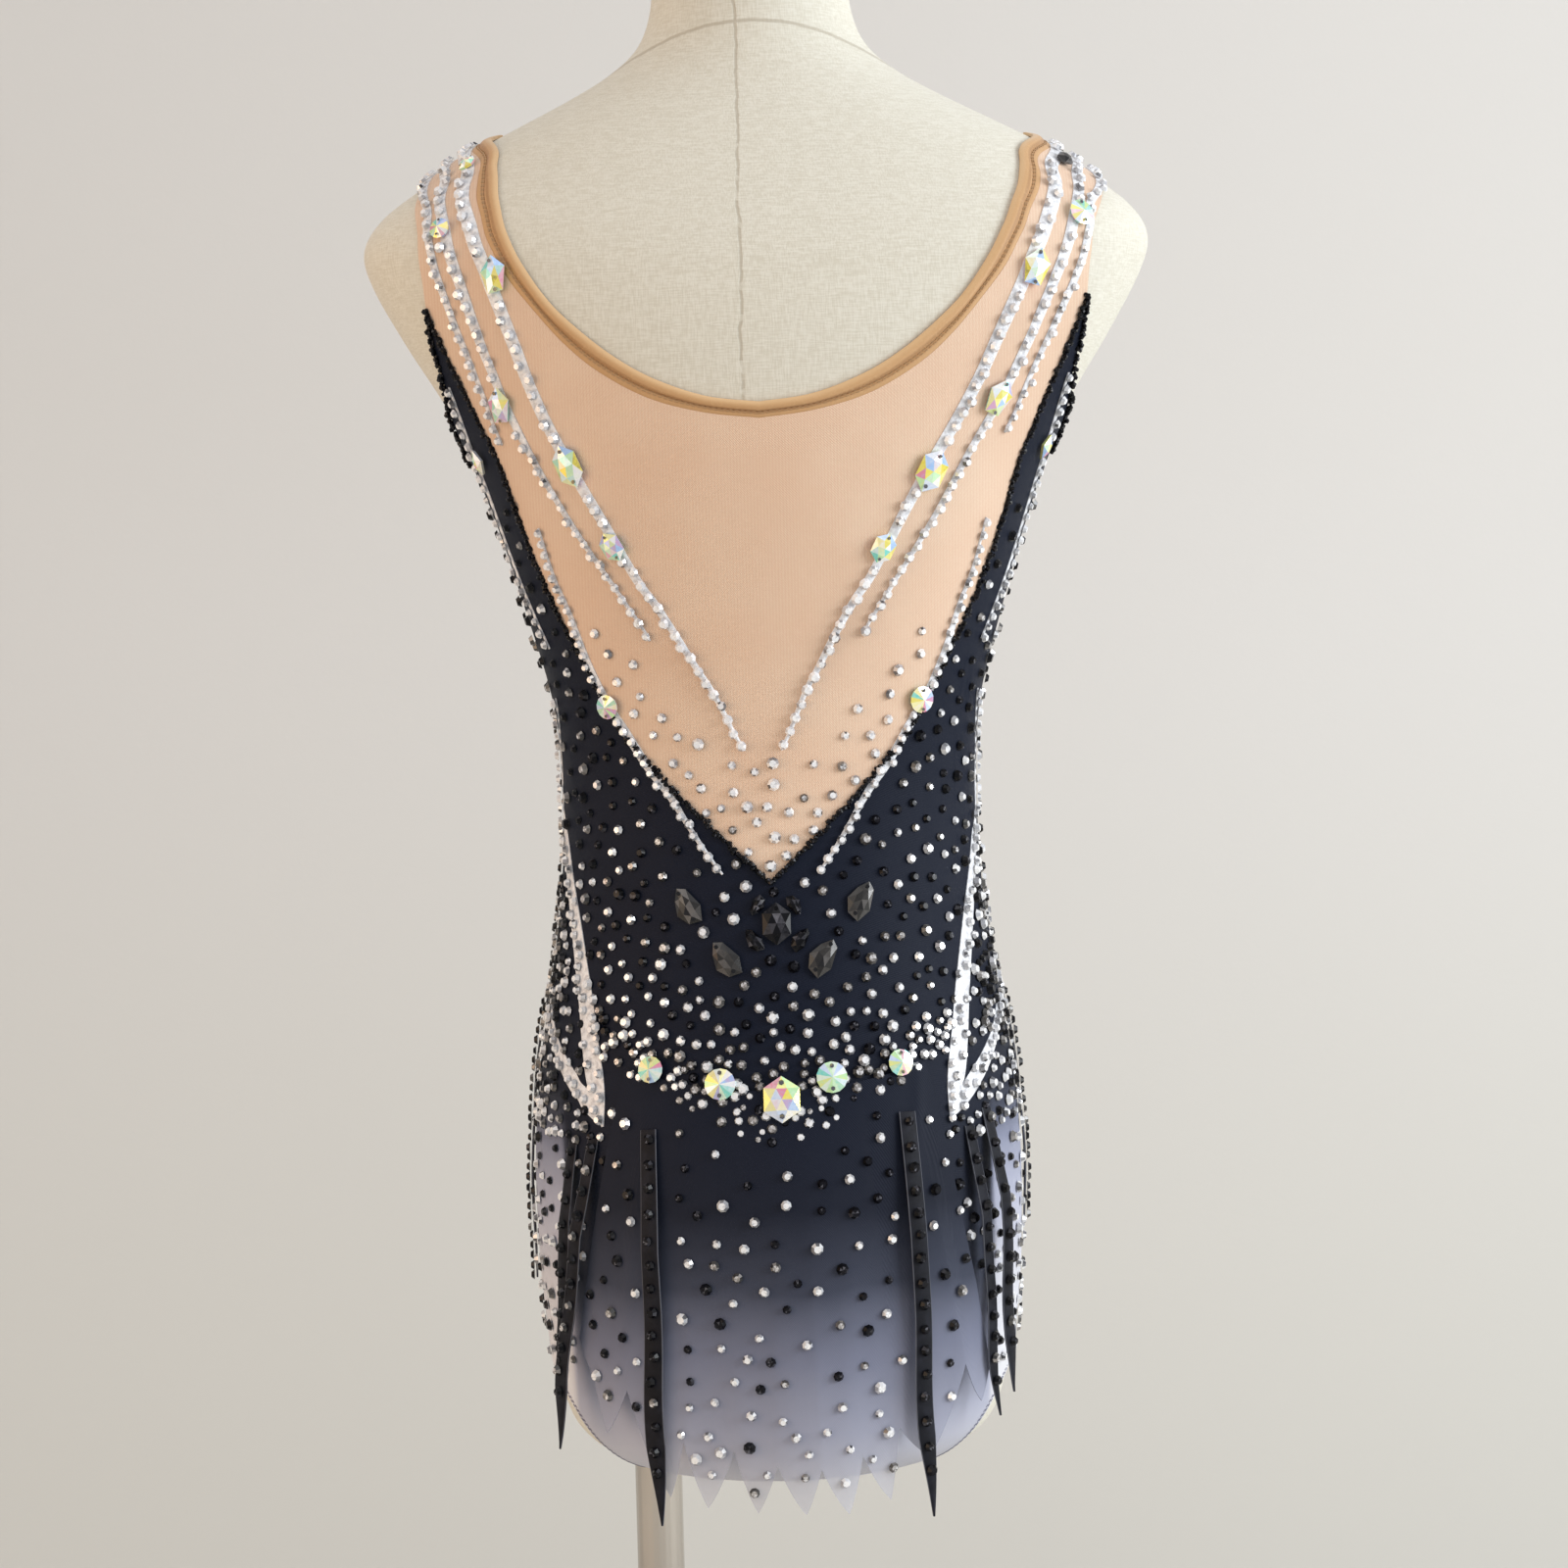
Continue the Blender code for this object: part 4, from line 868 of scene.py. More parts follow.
AURORA = Crystal("aurora_crystal", (
    (0.0, (0.1, 0.1, 0.12)), (0.06, (0.93, 0.8, 0.12)), (0.18, (0.97, 0.93, 0.5)),
    (0.3, (0.2, 0.72, 0.66)), (0.4, (0.9, 0.97, 1.0)), (0.52, (0.86, 0.3, 0.42)),
    (0.6, (0.4, 0.62, 0.97)), (0.72, (0.97, 0.97, 1.0)), (0.82, (0.55, 0.88, 0.5)),
    (0.9, (0.98, 0.85, 0.25)), (1.0, (0.98, 0.98, 1.0)),
), roughness=0.07)
SMOKE = Crystal("smoke_crystal", (
    (0.0, (0.008, 0.008, 0.01)), (0.4, (0.03, 0.029, 0.028)), (0.66, (0.055, 0.052, 0.05)),
    (0.85, (0.15, 0.142, 0.138)), (1.0, (0.025, 0.025, 0.027)),
), metallic=0.1, roughness=0.12, level=0.3, coat=0.14)

SMALL_STONES = {"clear": CLEAR, "frost": FROST, "grey": GREY, "jet": JET}


@dataclass(frozen=True)
class Thread:
    """Sewing thread with its twist."""

    name: str = "thread"
    colour: tuple = (0.45, 0.27, 0.13)

    def make(self) -> bpy.types.Material:
        """Build the material."""
        m = Material(self.name)
        twist = m.noise(m.place, 2200, 1)
        colour = m.mix(twist * 0.4, self.colour, tuple(0.6 * c for c in self.colour))
        return m.done(Base_Color=colour, Roughness=0.6, Normal=m.bump(twist, 0.3, 0.0003))


@dataclass(frozen=True)
class Metal:
    """Polished or brushed metal of the stand, with faint wear."""

    name: str
    colour: tuple
    roughness: float
    brushed: float

    def make(self) -> bpy.types.Material:
        """Build the material."""
        m = Material(self.name)
        drawn = m.add("ShaderNodeMapping", None, {"Vector": m.place, "Scale": (1, 1, 0.02)})
        lines = m.noise(drawn.outputs[0], 900, 2)
        smears = m.noise(m.place, 14, 3)
        rough = smears * 0.12 + lines * self.brushed + self.roughness
        colour = m.mix(smears.band(0.3, 0.8) * 0.25, self.colour, (0.35, 0.32, 0.29))
        return m.done(Base_Color=colour, Roughness=rough, Metallic=1.0,
                      Normal=m.bump(lines, 0.06, 0.0003))


@dataclass(frozen=True)
class Plaster:
    """Plain pale wall and floor."""

    name: str = "studio_pale"
    colour: tuple = (0.675, 0.662, 0.64)
    low: tuple = (0.60, 0.588, 0.535)

    def make(self) -> bpy.types.Material:
        """Build the material."""
        m = Material(self.name)
        mottled = m.noise(m.place, 5, 3)
        colour = m.mix(mottled * 0.3, self.colour, tuple(0.95 * c for c in self.colour))
        colour = m.mix((1 - m.z.band(-0.1, 0.75)) * 0.8, colour, self.low)
        return m.done(Base_Color=colour, Roughness=0.95,
                      Normal=m.bump(m.noise(m.place, 160, 2), 0.05, 0.002))


class Wardrobe:
    """The finishes that are in use, each made once."""

    def __init__(self) -> None:
        """Start empty."""
        self.made: dict[str, bpy.types.Material] = {}

    def get(self, finish: Any) -> bpy.types.Material:
        """Material of a finish."""
        if finish.name not in self.made:
            self.made[finish.name] = finish.make()
        return self.made[finish.name]


WARDROBE = Wardrobe()
SLOTS = {
    "clear_crystal": "aurora_crystal", "frost_crystal": "aurora_crystal", "grey_crystal": "smoke_crystal",
    "jet_crystal": "smoke_crystal", "thread": "tan_binding", "hem_thread": "ombre_mesh",
}


def dress(obj: bpy.types.Object, finish: Any, replaces: Sequence[str] = ()) -> bpy.types.Object:
    """Give a piece its finish and its body.

    Args:
        obj: the finished piece.
        finish: what it is made of.
        replaces: CAD nodes that it stands for.

    Returns:
        The same piece.
    """
    material = WARDROBE.get(finish)
    if material.name not in [m.name for m in obj.data.materials if m]:
        obj.data.materials.clear()
        obj.data.materials.append(material)
    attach(obj, BODY)
    SLOTS.get(finish.name, finish.name)
    if replaces:
        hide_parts(*replaces)
    LOG.info("%s: %d faces, %s", obj.name, len(obj.data.polygons), finish.name)
    return obj


def cut_sheet(grid: np.ndarray,
              ease: float = 1.0) -> None:
    """Work out a piece's flat width, length and area, cut smaller by its ease where it is stretched; they
    are not kept or used.

    Args:
        grid: its outer side, in mm.
        ease: how much longer and wider the worn cloth is than the cut.
    """
    uv = grid_uv(grid)
    rows = np.linalg.norm(np.diff(grid[..., :2], axis=1), axis=2).sum(axis=1) / 1000
    width = float(np.percentile(rows, 90)) / ease
    length = max(float(uv[-1, :, 1].max()), float(np.ptp(grid[..., 2])) / 1000) / ease
    area = min(grid_area(grid) / ease ** 2, width * length)


@dataclass
class DressForm:
    """Linen torso with its neck and cap, and the stand that carries it."""

    columns: int = 160
    step: float = 0.125
    cap_rise: float = 8.0
    cap_scale: float = 1.04

    def torso(self) -> None:
        """Loft the torso and the neck."""
        levels = np.arange(0, SKIN.last + self.step / 2, self.step)
        angles = np.linspace(-180, 180, self.columns + 1)[:-1]
        angle, level = np.meshgrid(angles, levels)
        rings = SKIN.bare(angle, level)
        rings[:, 0] = SKIN.bare(angle[:, 0], level[:, 0])
        self.lathe("torso_linen", rings, ["form_torso"])

    def cap(self) -> None:
        """Round off the neck with its padded cap."""
        rim = SKIN.bare(np.linspace(-180, 180, self.columns + 1)[:-1], np.full(self.columns, SKIN.last))
        profile = [(1.0, 0.3)]
        for turn in np.radians(np.linspace(-70, 90, 12)):
            share = self.cap_scale * (0.93 + 0.07 * math.cos(turn))
            profile.append((share, 4.1 + 3.6 * math.sin(turn)))
        profile += [(share, self.cap_rise - 0.1 + (0.93 - share) * 0.25) for share in (0.8, 0.5, 0.2, 0.02)]
        rings = [np.stack([rim[:, 0] * s, rim[:, 1] * s, rim[:, 2] + z], axis=1) for s, z in profile]
        self.lathe("neck_cap_linen", np.array(rings), ["form_neck_cap"])

    def lathe(self, name: str, rings: np.ndarray, nodes: Sequence[str]) -> None:
        """Closed round piece through rings of points."""
        rows, columns = rings.shape[:2]
        number = np.arange(rows * columns).reshape(rows, columns)
        number = np.concatenate([number, number[:, :1]], axis=1)
        a, b = number[:-1, :-1].ravel(), number[:-1, 1:].ravel()
        c, d = number[1:, 1:].ravel(), number[1:, :-1].ravel()
        faces = np.stack([a, b, c, d], axis=1).tolist()
        faces.append(number[0, :-1][::-1].tolist())
        faces.append(number[-1, :-1].tolist())
        obj = mesh_object(name, rings.reshape(-1, 3), faces)
        dress(obj, Linen(), nodes)

    def stand(self) -> None:
        """Finish the pole, socket and base that the solids give."""
        finishes = {
            "form_pole": Metal("chrome", (0.62, 0.57, 0.52), 0.12, 0.05),
            "form_socket": Metal("base_steel", (0.5, 0.5, 0.5), 0.3, 0.1),
            "form_base": Metal("base_steel", (0.5, 0.5, 0.5), 0.3, 0.1),
        }
        for name, finish in finishes.items():
            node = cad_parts[name]
            node.data.materials.clear()
            node.data.materials.append(WARDROBE.get(finish))
            LOG.info("%s: finished as %s", name, finish.name)

    def build(self) -> None:
        """Build the whole form."""
        self.torso()
        self.cap()
        self.stand()


@dataclass
class Panel:
    """Symmetric cloth panel on the skin between two edges given on the right half."""

    side: Side
    top: np.ndarray
    bottom: np.ndarray
    rows: int
    bend: float = 1.0
    ease: float = 1.0
    folds: Sequence[Fold] = ()
    lift: float = 1.6
    wall: float = 0.6

    def places(self) -> tuple[np.ndarray, np.ndarray]:
        """Angle from the centre line and level of each point of the grid."""
        down = np.linspace(0, 1, self.rows + 1)[:, None]
        turn = self.top[:, 0] + (self.bottom[:, 0] - self.top[:, 0]) * down ** self.bend
        level = self.bottom[:, 1] + (self.top[:, 1] - self.bottom[:, 1]) * (1 - down) ** self.ease
        return mirrored(turn, level)

    def grids(self) -> tuple[np.ndarray, np.ndarray]:
        """Outer and inner side of the cloth."""
        turn, level = self.places()
        angle = self.side.angle(turn)
        bare = SKIN.bare(angle, level)
        lift = self.lift + folded(self.folds, bare[..., 0], bare[..., 2])
        return SKIN.at(angle, level, lift), SKIN.at(angle, level, lift - self.wall)


@dataclass
class Yoke:
    """Nude mesh yoke of one face, with the tan binding round its neck."""

    side: Side
    inner: Sequence
    outer: Sequence
    black: Sequence
    arm: Sequence
    seam_steps: int = 56
    strap_steps: int = 36
    rows: int = 40
    binding_rise: float = 1.5
    seam: np.ndarray = field(init=False)
    neck: np.ndarray = field(init=False)
    rim: np.ndarray = field(init=False)

    def __post_init__(self) -> None:
        """Work out the edges that the yoke shares with its neighbours."""
        self.seam = SKIN.edge(self.black, self.seam_steps)
        self.strap = SKIN.edge(self.arm, self.strap_steps, RIDGE_ARM)
        count = self.seam_steps + self.strap_steps
        self.neck = SKIN.edge(self.inner, count, RIDGE_NECK_INNER)
        self.rim = SKIN.edge(self.outer, count, RIDGE_NECK_OUTER)

    def cloth(self) -> None:
        """Stretch the mesh from the neck to the black edge and the armhole."""
        lower = np.vstack([self.seam, self.strap[1:]])
        panel = Panel(self.side, self.rim, lower, self.rows, folds=YOKE_FOLDS, lift=1.5, wall=0.5)
        outer, inner = panel.grids()
        obj = shell("yoke_cloth_" + self.side.value, outer, inner)
        dress(obj, PowerMesh(), [self.side.value + "_yoke"])
        cut_sheet(outer, 1.12)

    def rise(self, share: np.ndarray) -> np.ndarray:
        """Height over the skin across the binding: a rolled lip, a groove and a flat edge."""
        lip = np.sqrt(np.clip(np.sin(math.pi * np.clip(share / 0.62, 0.03, 1)), 0, 1))
        edge = np.sqrt(np.clip(np.sin(math.pi * np.clip((share - 0.62) / 0.38, 0, 0.97)), 0, 1))
        return 1.15 + self.binding_rise * (lip + 0.45 * edge)

    def binding(self) -> None:
        """Fold the binding over the neck edge as a soft raised band."""
        turns = np.linspace(0, 1, 17)[:, None, None]
        halves = self.neck[None] * (1 - turns) + self.rim[None] * turns
        turn, level = mirrored(halves[..., 0], halves[..., 1])
        lift = self.rise(np.linspace(0, 1, 17))[:, None] + 0 * turn
        angle = self.side.angle(turn)
        outer, inner = SKIN.at(angle, level, lift), SKIN.at(angle, level, lift * 0 + 0.35)
        obj = shell("binding_" + self.side.value, outer, inner)
        dress(obj, Binding(), ["neck_binding_" + self.side.value])

    def stitches(self) -> None:
        """Sew two rows through the binding beside its outer edge."""
        rows = []
        for share in (0.64, 0.74):
            line = self.neck * (1 - share) + self.rim * share
            line = np.vstack([line[:0:-1] * (-1, 1), line])
            angle = self.side.angle(line[:, 0])
            lift = self.rise(np.array(share)) + 0.1
            rows.append((SKIN.at(angle, line[:, 1], lift), SKIN.normal(angle, line[:, 1])))
        Repeat.stitched("binding_stitches_" + self.side.value, rows, Thread(), 2.5)

    def build(self) -> None:
        """Build the yoke."""
        self.cloth()
        self.binding()
        self.stitches()


@dataclass
class Body:
    """Black stretch body of one face, from the V edge and the underarm to the leg opening."""

    side: Side
    seam: np.ndarray
    arm: Sequence
    folds: Sequence[Fold]
    rows: int
    coarse_seam: int
    wing_steps: int = 18
    spread: float = 1.1
    crotch_angle: float = 50
    crotch_snap: float = 6

    def bottom(self) -> np.ndarray:
        """Lower edge: one place below each one of the top edge."""
        step = self.coarse_seam / (len(self.seam) - 1)
        crotch = []
        for i, (angle, _) in enumerate(self.seam):
            turned = angle + self.spread * i * step
            if turned > self.crotch_angle - self.crotch_snap * step:
                break
            crotch.append((turned, LEG_EDGE[0][1]))
        steps = len(self.seam) - 1 + self.wing_steps - len(crotch)
        return np.vstack([crotch, SKIN.path(LEG_EDGE, steps)])

    def build(self) -> None:
        """Build the panel and the twin row along its leg opening."""
        wing = SKIN.edge(self.arm, self.wing_steps, UNDERARM_HEIGHT)
        top = np.vstack([self.seam, wing[1:]])
        panel = Panel(self.side, top, self.bottom(), self.rows, 0.42, 1.25, self.folds)
        outer, inner = panel.grids()
        obj = shell("body_cloth_" + self.side.value, outer, inner)
        # Painted sheen at the body's sides, partly the thin cloth showing the form beneath.
        dress(obj, Ombre(side_sheen_and_show_through=0.4), [self.side.value + "_body"])
        cut_sheet(outer, 1.15)
        rows = []
        for up in (0.09, 0.17):
            line = SKIN.path(LEG_EDGE, 60) + (0, up)
            for sign in (-1, 1):
                angle = self.side.angle(line[:, 0] * sign)
                rows.append((SKIN.at(angle, line[:, 1], 1.65), SKIN.normal(angle, line[:, 1])))
        Repeat.stitched("leg_stitches_" + self.side.value, rows, Thread("hem_thread", (0.2, 0.2, 0.26)), 2.6)


@dataclass
class Gusset:
    """Crotch piece under the form, rounded from its solid."""

    cuts: int = 3

    def build(self) -> None:
        """Divide a merged copy of the solid finely and smooth it."""
        bm = bmesh.new()
        bm.from_mesh(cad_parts["gusset"].data)
        bmesh.ops.remove_doubles(bm, verts=bm.verts, dist=1e-6)
        bmesh.ops.subdivide_edges(bm, edges=bm.edges, cuts=self.cuts, use_grid_fill=True, smooth=0.0)
        mesh = bpy.data.meshes.new("gusset_cloth")
        bm.to_mesh(mesh)
        bm.free()
        mesh.polygons.foreach_set("use_smooth", [True] * len(mesh.polygons))
        mesh.set_sharp_from_angle(angle=math.radians(40))
        obj = link(bpy.data.objects.new("gusset_cloth", mesh))
        dress(obj, Ombre(), ["gusset"])


@dataclass
class Strip:
    """Narrow cloth along a line of points, with its own width at each."""

    name: str
    centre: np.ndarray
    normals: np.ndarray
    widths: np.ndarray
    wall: float = 0.6
    crown: float = 0.4
    across: int = 6

    def grid(self) -> np.ndarray:
        """Outer side of the strip."""
        ahead = np.gradient(self.centre, axis=0)
        side = np.cross(self.normals, ahead)
        side /= np.linalg.norm(side, axis=1, keepdims=True)
        share = np.linspace(-1, 1, self.across + 1)
        rise = self.crown * (1 - share ** 2)
        flat = self.centre[:, None] + side[:, None] * (self.widths[:, None] / 2 * share)[..., None]
        return flat + self.normals[:, None] * rise[None, :, None]

    def build(self) -> bpy.types.Object:
        """Build the shell and mark how near each point is to the cut edges."""
        outer = self.grid()
        obj = shell(self.name, outer, outer - self.normals[:, None] * self.wall)
        share = np.abs(np.linspace(-1, 1, self.across + 1))
        mark = np.tile(np.tile(share ** 6, len(outer)), 2)
        layer = obj.data.attributes.new("cut_edge", "FLOAT", "POINT")
        layer.data.foreach_set("value", mark.astype(np.float32))
        return obj


@dataclass
class Band:
    """White tapered strip over the cloth, on one side."""

    name: str
    stripes: Sequence
    sign: int
    lift: float = 1.9
    step: float = 3.0

    def line(self) -> tuple[np.ndarray, np.ndarray, np.ndarray]:
        """Points, outward directions and widths along the band."""
        places = []
        for side, x, height, width in self.stripes:
            turn = 90.0
            if side != "ridge":
                shift = self.sign * float(np.interp(height, *zip(*[s[::-1] for s in BAND_SHIFT])))
                held = x + shift if side == "back" and self.name.startswith("band") else x
                turn = float(Side(side).angle(SKIN.angle(held, height)))
            places.append((turn, float(SKIN.level(height)), width))
        rough = SKIN.path(places, 40)
        points = SKIN.bare(rough[:, 0], rough[:, 1])
        length = np.linalg.norm(np.diff(points, axis=0), axis=1).sum()
        path = SKIN.path(places, max(12, round(length / self.step)))
        angle = path[:, 0] * self.sign
        return SKIN.at(angle, path[:, 1], self.lift), SKIN.normal(angle, path[:, 1]), path[:, 2]

    def build(self) -> None:
        """Build the strip."""
        centre, normals, widths = self.line()
        obj = Strip(self.name + "_satin", centre, normals, widths).build()
        dress(obj, Satin(), [self.name])


@dataclass
class Skirt:
    """Sheer skirt panel gathered under the stone belt, with a pointed hem."""

    side: Side
    hem: Sequence
    node: str
    columns: int = 7
    rows: int = 64
    top_middle: float = 477
    top_rise: float = 9
    top_half: float = 67
    gather: float = 0.73
    flare: float = 0.8
    lift: float = 3.1
    wall: float = 0.45
    fold: float = 1.5
    fold_width: float = 11
    folds: Sequence[Fold] = ()

    def hem_line(self) -> np.ndarray:
        """Finely divided hem, a little hollow between its points."""
        line = []
        for (x0, z0), (x1, z1) in zip(self.hem, self.hem[1:]):
            for t in np.arange(self.columns) / self.columns:
                bow = -0.1 * abs(z1 - z0) * 4 * t * (1 - t)
                line.append((x0 + (x1 - x0) * t, z0 + (z1 - z0) * t + bow))
        line.append(self.hem[-1])
        return np.array(line, float)

    def top(self, x: np.ndarray) -> np.ndarray:
        """Height of the gathered top edge."""
        return self.top_middle + self.top_rise * (x / self.top_half) ** 2

    def swell(self, x: np.ndarray, height: np.ndarray, down: np.ndarray) -> np.ndarray:
        """How far the cloth stands out from the hips."""
        soft = self.fold * down * (1 + np.sin(x / self.fold_width + 0.6))
        return self.lift + soft + folded(self.folds, x, height)

    def point(self, x: np.ndarray, height: np.ndarray) -> np.ndarray:
        """Point of the outer side at a distance from the centre and a height."""
        hem = self.hem_line()
        lowest = np.interp(x, hem[:, 0], hem[:, 1])
        top = self.top(np.clip(x, -self.top_half, self.top_half))
        down = np.clip((top - height) / np.maximum(top - lowest, 1), 0, 1)
        return SKIN.hang(x, height, self.side, self.swell(x, height, down))

    def build(self) -> None:
        """Build the panel."""
        hem = self.hem_line()
        down = np.linspace(0, 1, self.rows + 1)[:, None]
        top_x = hem[:, 0] * self.gather
        x = top_x + (hem[:, 0] - top_x) * down ** self.flare
        top = self.top(top_x)
        height = top + (hem[:, 1] - top) * down
        lift = self.swell(x, height, down)
        outer = SKIN.hang(x, height, self.side, lift)
        inner = SKIN.hang(x, height, self.side, lift - self.wall)
        obj = shell("skirt_cloth_" + self.side.value, outer, inner)
        dress(obj, Ombre("ombre_mesh", 1.0, 0.42, 0.001), [self.node])
        cut_sheet(outer, 1.0)


@dataclass
class Ribbon:
    """Black ribbon sewn on at its top and hanging free, with stones down it."""

    name: str
    side: Side
    top_x: float
    top: float
    tip_x: float
    tip: float
    top_width: float
    width: float
    stand: float
    steps: int = 60
    sewn_body: float = 2.4
    sewn_skirt: float = 4.6
    free: float = 8.4
    rise: float = 0.3
    taper: float = 0.8
    tip_width: float = 0.9
    tip_curve: float = 1.15
    skirt_half: float = 67
    sway: float = 1.2
    quiver: float = 0.5

    def widths(self, down: np.ndarray) -> np.ndarray:
        """Width down the ribbon, tapering to its cut point."""
        upper = self.top_width + (self.width - self.top_width) * down / self.taper
        late = np.clip((down - self.taper) / (1 - self.taper), 0, 1)
        tip = self.width + (self.tip_width - self.width) * late ** self.tip_curve
        return np.where(down < self.taper, upper, tip)

    def line(self) -> tuple[np.ndarray, np.ndarray, np.ndarray]:
        """Points, outward directions and widths down the ribbon."""
        down = np.linspace(0, 1, self.steps + 1)
        sway = self.sway * np.sin(math.pi * 2 * down) * down
        sway = sway + self.quiver * np.sin(math.pi * 5 * down + self.tip) * down
        x = self.top_x + (self.tip_x - self.top_x) * down + sway
        height = self.top + (self.tip - self.top) * down
        sewn = self.sewn_skirt if abs(self.top_x) < self.skirt_half else self.sewn_body
        free = self.free + self.stand
        lift = sewn + (free - sewn) * np.minimum(1, down / self.rise)
        lift = lift + self.quiver * np.sin(down * 9 + self.top_x) * np.clip(down - 0.3, 0, 1)
        held = np.maximum(height, HANG_HEIGHT)
        out = SKIN.normal(self.side.angle(SKIN.angle(x, held)), SKIN.level(held)) * (1, 1, 0)
        out /= np.linalg.norm(out, axis=1, keepdims=True)
        return SKIN.hang(x, height, self.side, lift), out, self.widths(down)

    def build(self) -> None:
        """Build the ribbon; its stones are set by the Jeweller."""
        centre, normals, widths = self.line()
        obj = Strip("ribbon_cloth_" + self.name, centre, normals, widths, 0.5, 0.35).build()
        dress(obj, RibbonCloth(), ["ribbon_" + self.name])


@dataclass
class SideRibbon(Ribbon):
    """Sequinned ribbon down the side line, seen edge on from the back."""

    sign: int = 1
    turn: float = 89.0
    stand_off: float = 1.0
    ripple: float = 0.3

    def line(self) -> tuple[np.ndarray, np.ndarray, np.ndarray]:
        """Points, outward directions and widths down the ribbon."""
        down = np.linspace(0, 1, self.steps + 1)
        height = self.top + (self.tip - self.top) * down
        held = np.maximum(height, HANG_HEIGHT)
        lift = self.sewn_body + self.stand_off * np.minimum(1, down / self.rise)
        lift = lift + self.ripple * np.sin(down * 11)
        centre = SKIN.at(np.full_like(down, self.turn * self.sign), SKIN.level(held), lift)
        centre[:, 2] -= held - height
        normals = np.tile(np.array([self.sign, 0.0, 0.0]), (len(down), 1))
        return centre, normals, self.widths(down)


